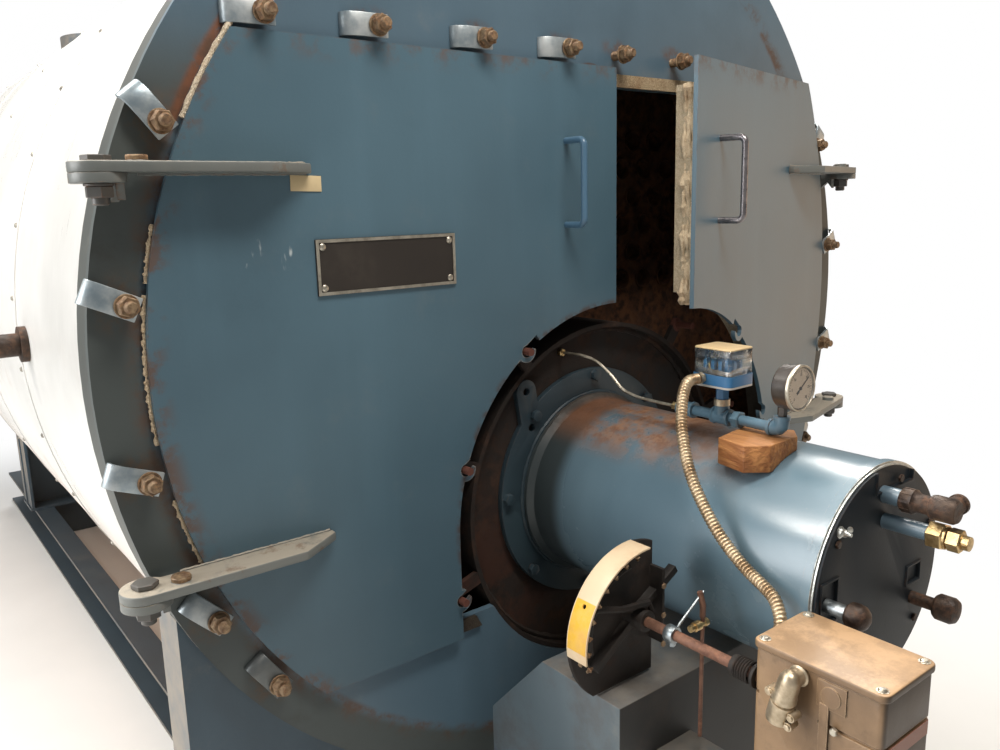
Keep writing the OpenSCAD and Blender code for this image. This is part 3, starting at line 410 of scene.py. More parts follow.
def weld_ring(mesh, centre, radius, bead, rough, steps, sides):
    """A bead of weld round an upright circle, thicker and thinner by rough."""
    swept(mesh, [around(centre, radius, math.tau * i / steps) for i in range(steps + 1)],
          [bead + random.uniform(-rough, rough) for i in range(steps + 1)], sides)


random.seed(4)
mesh = bmesh.new()
weld_ring(mesh, (0, 0.0172, CENTRE_H), 0.9895, 0.0036, 0.0006, 360, 6)
settle("rim_weld", mesh, ring_paint)


# Bright aluminium jacket over the lagging, held by flat bands with sheet metal
# screws. Handled, dented and stained brown low down; what faces down carries a
# painted brown reflection of the floor.
def bright_sheet(name, low, high):
    """Brushed sheet metal, stained browner low down, with a painted brown reflection on what faces the floor.
    """
    f = Finish(name)
    tone = f.noise(2.0, 4).fade(0.3, 0.7)
    brushed = f.noise(60, 3, stretch=(0.3, 8, 0.3)).fade(0.35, 0.65)
    stain = f.noise(1.8, 6, 0.68).fade(0.5, 0.78) * f.axis("Z").fade(0.7, 1.6, 1.0, 0.2)
    colour = f.mix(tone * 0.7 + brushed * 0.3, low, high)
    colour = f.mix(stain * 0.65, colour, srgb(150, 120, 92))
    # Painted reflection: what faces down is tinted brown, as if it mirrored the floor.
    under = f.facing("Z").fade(-0.85, -0.25, 1.0, 0.0)
    colour = f.mix(under * 0.75, colour, srgb(206, 150, 98))
    spots = f.noise(34, 6, 0.7).fade(0.68, 0.76)
    colour = f.mix(spots * 0.35, colour, srgb(120, 104, 88))
    f.shine(Base_Color=colour, Metallic=0.45,
            Roughness=brushed * 0.06 + 0.27 + stain * 0.2 + tone * 0.06,
            Normal=f.bump(f.noise(1.6, 2) + f.noise(5.0, 2) * 0.08, 0.012, 0.6))
    return f


jacket_sheet = bright_sheet("jacket_sheet", srgb(222, 221, 217), srgb(240, 239, 236))
dress(jacket_sheet, "shell_jacket", "jacket_bands")


def bare_metal(name, colour, shade, rust=0.0, roughness=0.35, metal=0.9, grain=60, dark=RUST_DARK,
               light=RUST_LIGHT):
    """Metal with a grain of tone, and with a crust of rust where rust isn't 0."""
    f = Finish(name)
    tone = f.noise(grain, 5, 0.6).fade(0.3, 0.7)
    body = f.mix(tone, shade, colour)
    crust = f.noise(grain * 0.7, 7, 0.7).fade(0.62 - 0.3 * rust, 0.74 - 0.2 * rust) * min(1.0, rust * 1.4)
    tint = f.mix(f.noise(grain * 2.2, 3).fade(0.3, 0.7), dark, light)
    f.shine(Base_Color=f.mix(crust, body, tint), Metallic=(1 - crust) * metal,
            Roughness=tone * 0.12 + roughness + crust * 0.35,
            Normal=f.bump(tone + crust * 0.8, 0.0004))
    return f


steel = bare_metal("steel", srgb(172, 168, 158), srgb(132, 128, 120), rust=0.2)


def stand(base, axis, turn=0.0):
    """Puts +Z on an axis and the origin at a base point."""
    lift = Vector(axis).normalized().to_track_quat("Z", "Y").to_matrix().to_4x4()
    return Matrix.Translation(base) @ lift @ Matrix.Rotation(turn, 4, "Z")


BAND_COUNT = 6
BAND_WIDTH = 0.040
SCREW_COUNT = 40
band_low, band_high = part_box("jacket_bands")
sheet_r = (band_high[0] - band_low[0]) / 2
band_gap = (band_high[1] - BAND_WIDTH - band_low[1]) / (BAND_COUNT - 1)
mesh = bmesh.new()
for i in range(BAND_COUNT):
    middle = (0, band_low[1] + band_gap * i + BAND_WIDTH / 2, CENTRE_H)
    for k in range(SCREW_COUNT):
        a = math.radians(360 / SCREW_COUNT * k + 4)
        head = stand(around(middle, sheet_r + 0.0018, a), (math.cos(a), 0, math.sin(a)))
        bmesh.ops.create_cone(mesh, cap_ends=True, segments=8, radius1=0.0062, radius2=0.0036, depth=0.004,
                              matrix=head)
settle("band_screws", mesh, steel)


# Inside: tube sheets, fire tubes and drums of boiler steel, brown with scale
# and dust; the furnace front is burnt dark and flakes at its edge.
scale_brown = bare_metal("scale_brown", srgb(108, 72, 48), srgb(58, 40, 30), rust=0.9, roughness=0.8,
                         metal=0.05, grain=22, dark=srgb(46, 30, 22), light=srgb(104, 66, 40))
dress(scale_brown, "front_tube_sheet", "rear_tube_sheet", "fire_tubes", "smokebox_barrel",
      "boiler_shell", "rear_box_barrel")


def burnt_steel(name, roughness):
    """Steel that the flame has burnt dark, with flakes of brown scale."""
    return bare_metal(name, srgb(40, 29, 23), srgb(24, 19, 16), rust=0.45, roughness=roughness, metal=0.05,
                      grain=14, dark=srgb(30, 23, 19), light=srgb(72, 47, 32))


burnt = burnt_steel("burnt", 0.85)
dress(burnt, "furnace_drum")
EAR_SPOTS = ((-0.160, -0.046), (-0.326, -0.270), (-0.347, -0.550),
             (0.354, -0.046), (0.520, -0.270), (0.541, -0.550))
hooks = burnt_steel("hooks", 0.8)
shade = hooks.colour_so_far()
lower_left = hooks.near((-0.27, 0.02, CENTRE_H - 0.62), 0.34, 0.2) * hooks.noise(11, 7, 0.72).fade(0.40, 0.58)
shade = hooks.mix(lower_left * 0.6, shade, srgb(74, 40, 24))
for x, z in EAR_SPOTS:
    spot = hooks.near((x, 0.0, CENTRE_H + z), 0.020, 0.8, (1, 0.3, 1))
    shade = hooks.mix(spot * 0.85, shade, srgb(98, 56, 44))
hooks.shine(Base_Color=shade)
dress(hooks, "furnace_front")


def turned(mesh, profile, base, axis, steps=32):
    """Turns a profile of (along, out) pairs about an axis, as on a lathe."""
    axis = Vector(axis).normalized()
    out = axis.orthogonal().normalized()
    base = Vector(base)
    verts = [mesh.verts.new(base + axis * a + out * r) for a, r in profile]
    edges = [mesh.edges.new(pair) for pair in zip(verts, verts[1:])]
    bmesh.ops.spin(mesh, geom=verts + edges, cent=base, axis=axis, angle=math.tau, steps=steps,
                   use_merge=True)
    # The spin gives back its last ring alone, so the rest is reached along edges.
    alive = dict.fromkeys(v for v in verts if v.is_valid)
    stack = list(alive)
    while stack:
        for e in stack.pop().link_edges:
            for v in e.verts:
                if v not in alive:
                    alive[v] = None
                    stack.append(v)
    bmesh.ops.remove_doubles(mesh, verts=list(alive), dist=1e-6)
    bmesh.ops.recalc_face_normals(mesh, faces=faces_of(v for v in alive if v.is_valid))


# A rusty weld ring where the furnace front meets its drum, rough where the bead
# was laid by hand.
FURNACE = Vector((0.097, 0, CENTRE_H - 0.411))
BURNER = Vector((0.071, 0, CENTRE_H - 0.391))
random.seed(7)
mesh = bmesh.new()
weld_ring(mesh, FURNACE + Vector((0, 0.040, 0)), 0.379, 0.0075, 0.002, 200, 7)
settle("furnace_weld", mesh, burnt)


# Rope gasket round the smokebox opening, and the lining blocks of the doors:
# pale mineral fibre, stained brown and frayed where the gases passed.
def fibre(name, colour, shade, stain_level=0.45, stain_colour=srgb(128, 92, 58), low=0.0):
    """Mineral fibre in strands, stained brown, and sooty below the height low."""
    f = Finish(name)
    strands = f.noise(190, 5, 0.7, distortion=1.5).fade(0.3, 0.7)
    stain = f.noise(9, 6, 0.72).fade(stain_level, stain_level + 0.22)
    body = f.mix(strands, shade, colour)
    body = f.mix(stain * 0.8, body, stain_colour)
    if low:
        body = f.mix(f.axis("Z").fade(low, low + 0.25, 0.92, 0.0), body, srgb(30, 24, 20))
    f.shine(Base_Color=body, Roughness=0.93,
            Normal=f.bump(strands + f.noise(34, 4) * 2, 0.002))
    return f


rope = fibre("rope", srgb(238, 218, 186), srgb(200, 172, 136), 0.5, srgb(140, 98, 58))
block = fibre("block", srgb(206, 190, 162), srgb(170, 150, 122), 0.5, low=1.12)
dress(fibre("old_rope", srgb(206, 184, 150), srgb(160, 134, 100), 0.45, low=0.98), "opening_gasket")
dress(block, "left_door_lining", "right_door_lining")


def frayed(mesh, path, radius, wander, sides=8):
    """A worn rope along a path, wandering, with thick and thin places."""
    radii, spots = [], []
    for i, point in enumerate(path):
        swell = 0.75 + 0.25 * math.sin(i * 0.9) + random.uniform(-0.3, 0.3)
        radii.append(max(radius * 0.35, radius * swell))
        spots.append(Vector(point) + Vector((random.uniform(-1, 1), random.uniform(-0.6, 0.6),
                                             random.uniform(-1, 1))) * wander)
    swept(mesh, spots, radii, sides)


random.seed(11)
mesh = bmesh.new()
for start, end in ((164.8, 170.4), (171.6, 186.5), (192.5, 203)):
    count = int((end - start) * 5)
    arc = [math.radians(start + (end - start) * k / count) for k in range(count + 1)]
    frayed(mesh, [around((0, -0.0068, CENTRE_H), 0.9205, a) for a in arc], 0.0046, 0.0007)
settle("rope_edge", mesh, rope)
FRESH_STEPS = 128
mesh = bmesh.new()
arc = [math.radians(141.5 + 0.1 * k) for k in range(FRESH_STEPS)]
swept(mesh, [around((0, -0.0125, CENTRE_H), 0.9215, a) for a in arc],
      [0.0045 + 0.0006 * math.sin(0.3 * k) + random.uniform(-0.0003, 0.0003) for k in range(FRESH_STEPS)], 8)
settle("rope_fresh", mesh, fibre("rope_fresh", srgb(244, 230, 206), srgb(214, 190, 158), 0.66))

# The right door stands open, so what is laid on it is turned about its hinge.
HINGE_X = 0.966
HINGE_Y = -0.042
HINGE_LIFT = 0.325
RIGHT_OPEN = math.radians(13.5)
swung = (Matrix.Translation((HINGE_X, HINGE_Y, 0)) @ Matrix.Rotation(RIGHT_OPEN, 4, "Z")
         @ Matrix.Translation((-HINGE_X, -HINGE_Y, 0)))
mesh = bmesh.new()
drop = [CENTRE_H + 0.490 - 0.0085 * k for k in range(54)]
for layer in (-0.002, 0.008, 0.017):
    frayed(mesh, [swung @ Vector((0.1290 - 0.0045 * math.sin(z * 60 + layer * 90), -0.0030 + layer, z))
                  for z in drop], 0.0085, 0.0015)
settle("right_lining_edge", mesh, rope, "right_door")


# Doors: flat steel plates under brushed enamel, rubbed and scratched, with
# welded straps of flat bar on edge and a bent bar handle each.
DOOR_FACE = -0.0193


def door_marks(f):
    """Scratches, rubbed ears with a painted highlight on their edges, a foot darkened with painted shade, and
    rust at the top, rim and arch.
    """
    marks = []
    rows = f.noise(130, 3, stretch=(1, 1, 0.2)).fade(0.5, 0.7)
    for x, z, size, flat in ((-0.738, 1.488, 0.015, (0.7, 1, 2.2)), (-0.727, 1.500, 0.012, (2, 1, 0.8)),
                             (-0.684, 1.474, 0.014, (2.4, 1, 0.8)), (-0.672, 1.490, 0.010, (2.2, 1, 0.9)),
                             (-0.75, 1.470, 0.006, (1, 1, 1)), (-0.20, 1.17, 0.005, (1, 1, 1))):
        marks.append((f.near((x, DOOR_FACE, z), size, 0.35, flat) * rows * 0.95, srgb(178, 186, 188)))
    # The ears' edges are pale from wear and from a painted highlight.
    for x, z in EAR_SPOTS[:3]:
        ear = f.near((x, 0.0, CENTRE_H + z), 0.040, 0.8, (1, 0.5, 1))
        marks.append((ear * f.edges(0.004) * 0.9, srgb(170, 160, 148)))
    # Painted shade: the door darkens towards its foot, where less lamp light reaches.
    low = f.axis("Z").fade(0.66, 1.30, 1.0, 0.0)
    marks.append((low * 0.34, srgb(52, 66, 74)))
    top = f.axis("Z").fade(1.79, 1.84)
    marks.append((top * f.noise(18, 6, 0.7).fade(0.45, 0.65) * 0.7, srgb(96, 70, 52)))
    rim = f.away_from((0, 0, CENTRE_H)).fade(0.880, 0.917) * f.axis("X").fade(-0.3, -0.5, 0.0, 1.0)
    marks.append((rim * f.noise(16, 6, 0.7).fade(0.48, 0.6) * 0.8, srgb(92, 66, 50)))
    arch = f.away_from(FURNACE).fade(0.446, 0.458, 1.0, 0.0)
    marks.append((arch * f.noise(24, 6, 0.7).fade(0.45, 0.6) * 0.8, srgb(70, 52, 44)))
    return marks


door_paint = paint("door_paint", srgb(78, 105, 119), srgb(67, 91, 104), rust=0.12, worn=0.7, gloss=0.33,
                   dirt=0.22, extra=door_marks)
dress(door_paint, "left_door_plate", "right_door_plate")


def dusty_top(f):
    """Dust on what faces up, and patches of brown."""
    return [(f.facing("Z").fade(0.6, 0.95) * f.noise(30, 6, 0.7).fade(0.22, 0.5) * 0.85, srgb(168, 158, 142)),
            (f.noise(18, 6, 0.72).fade(0.56, 0.68) * 0.6, srgb(110, 84, 62))]


strap_paint = paint("strap_paint", srgb(112, 114, 110), srgb(92, 96, 94), rust=0.4, worn=0.9, gloss=0.42,
                    edge=0.004, extra=dusty_top)


def eased(mesh, edges, width, segments=2):
    """Rounds edges, or cuts them where there is one segment."""
    bmesh.ops.bevel(mesh, geom=edges, offset=width, segments=segments, profile=0.5, affect="EDGES",
                    clamp_overlap=True, material=-1)


def softened(name, node, finish, width, body="boiler", angle=28, segments=2):
    """A copy of a CAD node with its edges rounded, in that node's place."""
    mesh = bmesh.new()
    mesh.from_mesh(nodes[node].data)
    bmesh.ops.remove_doubles(mesh, verts=mesh.verts, dist=2e-5)
    bmesh.ops.dissolve_limit(mesh, angle_limit=math.radians(0.5), verts=mesh.verts, edges=mesh.edges)
    sharp = [e for e in mesh.edges if e.is_manifold and e.calc_face_angle(0) > math.radians(angle)]
    eased(mesh, sharp, width, segments)
    return settle(name, mesh, finish, body, (node,))


softened("left_straps", "left_door_straps", strap_paint, 0.0022, "left_door")
softened("right_straps", "right_door_straps", strap_paint, 0.0022, "right_door")
softened("left_brackets", "left_hinge_brackets", strap_paint, 0.002)
softened("right_brackets", "right_hinge_brackets", strap_paint, 0.002)
handle_paint = paint("handle_paint", srgb(78, 110, 134), srgb(64, 92, 114), rust=0.05, worn=0.3, gloss=0.28)
dress(handle_paint, "left_door_handle")
dress(bare_metal("handle_steel", srgb(150, 144, 144), srgb(112, 108, 112), roughness=0.26, metal=0.8),
      "right_door_handle")

# The hinge pins are hex bolts: head above, nut and washer below, under a coat of
# grime. Studs and nuts elsewhere have gone brown and tan.
nut_rust = bare_metal("nut_rust", srgb(150, 128, 100), srgb(98, 76, 58), rust=0.6, roughness=0.45,
                      metal=0.45, grain=90, dark=srgb(70, 48, 36), light=srgb(150, 112, 76))
pin_paint = paint("pin_paint", srgb(92, 90, 86), srgb(68, 66, 64), rust=0.6, worn=0.9, gloss=0.45, dirt=0.5)


def hex_part(mesh, base, axis, across, height, turn=0.0, chamfer=0.0012):
    """A hex head or nut, its corners turned off at both ends."""
    place = stand(base, axis, turn) @ Matrix.Translation((0, 0, height / 2))
    made = bmesh.ops.create_cone(mesh, cap_ends=True, segments=6, radius1=across / math.sqrt(3),
                                 radius2=across / math.sqrt(3), depth=height, matrix=place)["verts"]
    rims = [e for e in edges_of(made)
            if abs((place.inverted() @ e.verts[0].co).z - (place.inverted() @ e.verts[1].co).z) < 1e-5]
    eased(mesh, rims, chamfer, 1)


def threaded(mesh, base, axis, radius, start, end, pitch=0.0025):
    """A stud with its turned thread and a chamfered end."""
    profile = [(start, 0.0)]
    along = start
    while along < end - 0.003:
        profile += [(along, radius), (along + pitch / 2, radius - 0.0011)]
        along += pitch
    profile += [(end - 0.002, radius - 0.0004), (end, radius - 0.0024), (end, 0.0)]
    turned(mesh, profile, base, axis, 20)


def washer(mesh, base, axis, radius, hole, thick):
    """A flat washer with the sharpness taken off its rims."""
    turned(mesh, [(0, hole), (0, radius - 0.001), (0.0008, radius), (thick - 0.0008, radius),
                  (thick, radius - 0.001), (thick, hole), (0, hole)], base, axis, 32)


UPWARD = (0, 0, 1)
DOWNWARD = (0, 0, -1)


def hinge_set(name, side, node):
    """The two bolts of a door's hinges: head, shank, washer and nut."""
    mesh = bmesh.new()
    for lift in (-HINGE_LIFT, HINGE_LIFT):
        x, y, z = side * HINGE_X, HINGE_Y, CENTRE_H + lift
        hex_part(mesh, (x, y, z + 0.0085), UPWARD, 0.036, 0.0085, 0.3)
        turned(mesh, [(0, 0), (0, 0.0119), (0.044, 0.0119), (0.046, 0.0095), (0.0462, 0.0)],
               (x, y, z - 0.008), DOWNWARD, 28)
        washer(mesh, (x, y, z - 0.0226), DOWNWARD, 0.0205, 0.0122, 0.004)
        hex_part(mesh, (x, y, z - 0.0268), DOWNWARD, 0.035, 0.016, 0.1)
    settle(name, mesh, pin_paint, stands_for=(node,))


hinge_set("left_hinge_bolts", -1, "left_hinge_pins")
hinge_set("right_hinge_bolts", 1, "right_hinge_pins")

# A big flat-headed bolt sits in each of the left door's straps, behind the pin,
# and is brown with rust where the paint has gone.
mesh = bmesh.new()
for z in (-HINGE_LIFT, HINGE_LIFT):
    turned(mesh, [(0, 0.0), (0, 0.0152), (0.0070, 0.0158), (0.0090, 0.0146), (0.0097, 0.0)],
           (-HINGE_X + 0.052, HINGE_Y - 0.014, CENTRE_H + z + 0.0081), UPWARD, 28)
settle("strap_bolts", mesh, nut_rust, "left_door")


# Clamps: short bent plates on studs, turned clear of the doors. Each is pulled
# down by a washer and a rusty hex nut on a long stud.
clamp_paint = bare_metal("clamp_paint", srgb(190, 194, 194), srgb(128, 142, 150), rust=0.12, roughness=0.33,
                         metal=0.55, grain=18, dark=srgb(92, 84, 74), light=srgb(134, 120, 100))
# The clamps are painted a darker grey towards the bottom.
darker_low_down = clamp_paint.axis("Z").fade(0.74, 0.98, 0.8, 0.0)
clamp_paint.shine(Base_Color=clamp_paint.mix(darker_low_down, clamp_paint.colour_so_far(), srgb(64, 64, 60)))
CLAMP_TURNS = (128, 155, 160, 135, 125)
CLAMP_WIDTH = 0.039
CLAMP_THICK = 0.0065
FORWARD = (0, -1, 0)


def clamp(mesh, x, z, turn):
    """The plate's curved section is drawn as a line, extruded and thickened."""
    place = Matrix.Translation((x, 0, CENTRE_H + z)) @ Matrix.Rotation(math.radians(turn), 4, "Y")
    line = [(-0.0635, -0.0005), (-0.0625, -0.0075), (-0.0585, -0.0140), (-0.0515, -0.0190),
            (-0.0420, -0.0222), (-0.0300, -0.0240), (-0.0150, -0.0250), (0.0000, -0.0254),
            (0.0195, -0.0254)]
    verts = [mesh.verts.new(place @ Vector((a, b, -CLAMP_WIDTH / 2))) for a, b in line]
    edges = [mesh.edges.new(pair) for pair in zip(verts, verts[1:])]
    sheet = bmesh.ops.extrude_edge_only(mesh, edges=edges)["geom"]
    bmesh.ops.translate(mesh, verts=verts_in(sheet), vec=place.to_3x3() @ Vector((0, 0, CLAMP_WIDTH)))
    faces = [g for g in sheet if isinstance(g, bmesh.types.BMFace)]
    out = place.to_3x3() @ Vector(FORWARD)
    if faces[-1].normal.dot(out) < 0:
        bmesh.ops.reverse_faces(mesh, faces=faces)
    for face in faces:
        face.normal_update()
    bmesh.ops.solidify(mesh, geom=faces, thickness=CLAMP_THICK)


def clamp_set(name, spots, node):
    """A row of clamps, as one piece in place of the CAD ones."""
    mesh = bmesh.new()
    for x, z, turn in spots:
        clamp(mesh, x, z, turn)
    bmesh.ops.recalc_face_normals(mesh, faces=mesh.faces)
    corners = [e for e in mesh.edges if e.is_manifold and e.calc_face_angle(0) > math.radians(50)]
    eased(mesh, corners, 0.0011)
    settle(name, mesh, clamp_paint, stands_for=(node,))


side_spots = []
for side in (-1, 1):
    for angle, turn in zip(SIDE_ANGLES, CLAMP_TURNS):
        x, z = STUD_R * math.cos(math.radians(angle)), STUD_R * math.sin(math.radians(angle))
        side_spots.append((x, z, 180 - turn) if side < 0 else (-x, z, turn))
clamp_set("top_clamp_plates", [(x, STUD_TOP, 0) for x in TOP_XS[:4]], "top_clamps")
clamp_set("side_clamp_plates", side_spots, "side_clamps")


def stud_set(name, spots, node):
    """Studs with their washers and nuts, each nut turned its own way."""
    mesh = bmesh.new()
    for i, (x, z) in enumerate(spots):
        base = Vector((x, 0, CENTRE_H + z))
        washer(mesh, base + Vector((0, -0.0262, 0)), FORWARD, 0.0190, 0.0100, 0.0032)
        hex_part(mesh, base + Vector((0, -0.0295, 0)), FORWARD, 0.0292, 0.0165, 0.5 + i * 0.7, 0.0016)
        threaded(mesh, base, FORWARD, 0.0097, -0.010, 0.0605 - 0.002 * (i % 3))
    settle(name, mesh, nut_rust, stands_for=(node,))


stud_set("top_stud_nuts", [(x, STUD_TOP) for x in TOP_XS], "top_studs")
stud_set("side_stud_nuts", [(x, z) for x, z, turn in side_spots], "side_studs")


# Name plate: a thin black plate, left bare, with a raised bright border and a
# rivet in each corner; below the strap a small bare card tag is glued on.
black = paint("black", srgb(44, 38, 33), srgb(34, 30, 27), rust=0.0, worn=0.4, gloss=0.42, dirt=0.15,
              edge=0.001, coat=0.0)
dress(black, "name_plate")
plate_low, plate_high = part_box("name_plate")
silver = bare_metal("silver", srgb(196, 190, 176), srgb(160, 152, 138), roughness=0.32, metal=0.85)


def frame_border(mesh, low, high, y, width, raise_by):
    """A raised border round a plate: a grid's face, inset and pulled out."""
    cx, cz = (low[0] + high[0]) / 2, (low[1] + high[1]) / 2
    place = Matrix.Translation((cx, y, cz)) @ Matrix.Rotation(math.pi / 2, 4, "X")
    made = bmesh.ops.create_grid(mesh, x_segments=1, y_segments=1, size=0.5, matrix=place @
                                 Matrix.Diagonal((high[0] - low[0], high[1] - low[1], 1, 1)))["verts"]
    middle = faces_of(made)
    ring = bmesh.ops.inset_region(mesh, faces=middle, thickness=width, use_even_offset=True,
                                  use_boundary=True)["faces"]
    bmesh.ops.delete(mesh, geom=middle, context="FACES_ONLY")
    grown = bmesh.ops.extrude_face_region(mesh, geom=ring)["geom"]
    bmesh.ops.translate(mesh, verts=verts_in(grown), vec=(0, -raise_by, 0))
    bmesh.ops.recalc_face_normals(mesh, faces=mesh.faces)


BORDER_IN = 0.0004
RIVET_IN = 0.013
mesh = bmesh.new()
frame_border(mesh, (plate_low[0] + BORDER_IN, plate_low[2] + BORDER_IN),
             (plate_high[0] - BORDER_IN, plate_high[2] - BORDER_IN), plate_low[1] - BORDER_IN, 0.0055, 0.0014)
for x in (plate_low[0] + RIVET_IN, plate_high[0] - RIVET_IN):
    for z in (plate_low[2] + RIVET_IN, plate_high[2] - RIVET_IN):
        turned(mesh, [(-0.001, 0.0065), (0.0012, 0.0062), (0.0026, 0.0044), (0.0031, 0.0022), (0.0032, 0.0)],
               (x, plate_low[1], z), FORWARD, 20)
settle("name_plate_border", mesh, silver, "left_door")

card = paint("card", srgb(206, 186, 146), srgb(176, 154, 116), rust=0.0, worn=0.5, gloss=0.6, dirt=0.3,
             edge=0.001, coat=0.0)


def cuboid(mesh, place, wide, deep, tall):
    """A box whose middle is at a place."""
    return bmesh.ops.create_cube(mesh, size=1, matrix=place @ Matrix.Diagonal((wide, deep, tall, 1)))["verts"]


mesh = bmesh.new()
cuboid(mesh, Matrix.Translation((-0.6357, -0.0203, 1.6010)) @ Matrix.Rotation(math.radians(1.5), 4, "Y"),
       0.056, 0.0016, 0.026)
eased(mesh, list(mesh.edges), 0.0005)
settle("bare_tag", mesh, card, "left_door")


# Weld beads along both edges of each strap, laid by hand and painted over with
# the doors.
def strap_welds(name, body, side, place):
    """The beads of one door's straps, turned with the door by place."""
    mesh = bmesh.new()
    for z in (-HINGE_LIFT, HINGE_LIFT):
        for edge in (-0.0082, 0.0082):
            swept(mesh, [place @ Vector((side * (0.905 - 0.0045 * k), -0.0195, CENTRE_H + z + edge))
                         for k in range(61)],
                  [0.0030 + random.uniform(-0.0007, 0.0007) for k in range(61)], 6)
    settle(name, mesh, strap_paint, body)


random.seed(21)
strap_welds("left_strap_welds", "left_door", -1, Matrix())
strap_welds("right_strap_welds", "right_door", 1, swung)


# Burner: a rolled housing with a bead at its bolted flange and a rolled rim at
# its mouth. The paint is burnt brown on top, where dust and heat sat.
def burner_marks(f):
    """Burnt and flaked paint on top, scuffs all over, and painted shade by the flange."""
    up = f.axis("Z").fade(BURNER.z + 0.120, BURNER.z + 0.185)
    behind = f.axis("Y").fade(-0.56, -0.20)
    patches = f.noise(7.5, 7, 0.72).fade(0.36, 0.56)
    flakes = f.noise(46, 7, 0.75).fade(0.44, 0.58)
    marks = [(up * behind * patches * 0.85, srgb(158, 110, 70)),
             (up * behind * flakes * patches * 0.8, srgb(104, 64, 40))]
    scuffs = f.noise(60, 5, 0.7, stretch=(1, 0.2, 1)).fade(0.70, 0.78)
    marks.append((scuffs * 0.5, srgb(132, 110, 92)))
    # Painted shade: a dark band on the housing next to the flange.
    rear = f.axis("Y").fade(-0.095, -0.045)
    marks.append((rear * 0.9, srgb(42, 46, 45)))
    crown = rear * f.axis("Z").fade(BURNER.z + 0.13, BURNER.z + 0.19) * f.axis("Y").fade(0.0, 0.012, 1.0, 0.0)
    marks.append((crown * f.noise(20, 6, 0.7).fade(0.2, 0.5) * 0.8, srgb(112, 72, 46)))
    return marks


burner_paint = paint("burner_paint", srgb(102, 124, 134), srgb(88, 110, 122), rust=0.2, gloss=0.24, dirt=0.2,
                     extra=burner_marks, coat=0.5)
flange_paint = paint("flange_paint", srgb(50, 68, 76), srgb(38, 52, 60), rust=0.45, dirt=0.6, gloss=0.5)
# The coat is taken off over the same band of painted shade.
flange_shade_band = burner_paint.axis("Y").fade(-0.095, -0.045)
burner_paint.shine(Coat_Weight=(1 - flange_shade_band) * 0.5)
dress(burner_paint, "burner_housing")
softened("mounting_flange", "burner_flange", flange_paint, 0.0014)

# The bead is welded to the flange and a lapped seam runs along the housing's
# underside. A thin polished band closes the mouth.
random.seed(5)
mesh = bmesh.new()
weld_ring(mesh, BURNER + Vector((0, 0.0285, 0)), 0.2135, 0.0042, 0.001, 160, 6)
seam = around(BURNER, 0.2005, -1.9)
swept(mesh, [seam + Vector((0, 0.002 - 0.011 * k, 0)) for k in range(60)],
      [0.0022 + random.uniform(-0.0005, 0.0005) for k in range(60)], sides=6)
settle("burner_welds", mesh, flange_paint)

mouth = bare_metal("mouth", srgb(196, 196, 190), srgb(152, 156, 154), rust=0.1, roughness=0.3, metal=0.85)
mesh = bmesh.new()
turned(mesh, [(0.0, 0.1965), (0.0, 0.2036), (0.0035, 0.2040), (0.0040, 0.2012), (0.0072, 0.2010),
              (0.0075, 0.1965), (0.0, 0.1965)], (BURNER.x, -0.6745, BURNER.z), FORWARD, 128)
settle("mouth_band", mesh, mouth)

end_paint = paint("end_paint", srgb(25, 33, 39), srgb(19, 25, 30), rust=0.3, dirt=0.12, gloss=0.5, coat=0.0)
end_paint.shine(Specular_IOR_Level=0.22)
softened("end_plate", "burner_end_plate", end_paint, 0.0008)

# Fittings screwed into the end plate: galvanised and blue nipples, a rusty
# union with its elbow, brass hex adapters and a wing nut on the plate's rim.
old_iron = bare_metal("old_iron", srgb(74, 58, 46), srgb(40, 30, 25), rust=0.6, roughness=0.42, metal=0.45,
                      grain=50, dark=srgb(40, 28, 22), light=srgb(96, 66, 46))
galvanised = bare_metal("galvanised", srgb(170, 176, 178), srgb(134, 142, 146), rust=0.1, roughness=0.34)
brass = bare_metal("brass", srgb(204, 178, 130), srgb(158, 132, 92), rust=0.05, roughness=0.28, metal=0.95,
                   dark=srgb(96, 70, 40), light=srgb(150, 112, 64))
nipple_paint = paint("nipple_paint", srgb(98, 118, 130), srgb(80, 98, 110), rust=0.9, worn=0.9, gloss=0.3)
FACE = -0.687


def on_plate(x, z):
    """A place on the end plate's face, in mm from the burner's centre line."""
    return (BURNER.x + x / 1000, FACE, BURNER.z + z / 1000)


def rod(mesh, start, end, radius, base, axis, steps):
    """A plain round bar from start to end along an axis."""
    turned(mesh, [(start, 0.0), (start, radius), (end, radius), (end, 0.0)], base, axis, steps)


RIGHTWARD = (1, 0, 0)
mesh = bmesh.new()
turned(mesh, [(-0.004, 0.0), (-0.004, 0.0148), (0.030, 0.0148), (0.032, 0.0128), (0.032, 0.0)],
       on_plate(-3, 152), FORWARD, 40)
rod(mesh, -0.004, 0.076, 0.0138, on_plate(2, 104), FORWARD, 40)
settle("blue_nipples", mesh, nipple_paint, stands_for=("burner_fittings",))
mesh = bmesh.new()
x, y, z = on_plate(-3, 152)
turned(mesh, [(0.031, 0.0), (0.031, 0.0185), (0.034, 0.0205), (0.052, 0.0208), (0.055, 0.0180),
              (0.0600, 0.0158), (0.078, 0.0160), (0.080, 0.0195), (0.086, 0.0208), (0.116, 0.0206),
              (0.1215, 0.0170), (0.122, 0.0)], (x, y, z), FORWARD, 36)
RIBS = 9
for k in range(RIBS):
    cuboid(mesh, Matrix.Translation((x, y, z)) @ Matrix.Rotation(math.tau * k / RIBS, 4, "Y")
           @ Matrix.Translation((0, -0.043, 0.0200)), 0.004, 0.018, 0.003)
turned(mesh, [(0.012, 0.0), (0.012, 0.0150), (0.036, 0.0150), (0.037, 0.0172), (0.0435, 0.0170),
              (0.044, 0.0)], (x, y - 0.103, z), RIGHTWARD, 36)
settle("union_and_elbow", mesh, old_iron)
mesh = bmesh.new()
x, y, z = on_plate(2, 104)
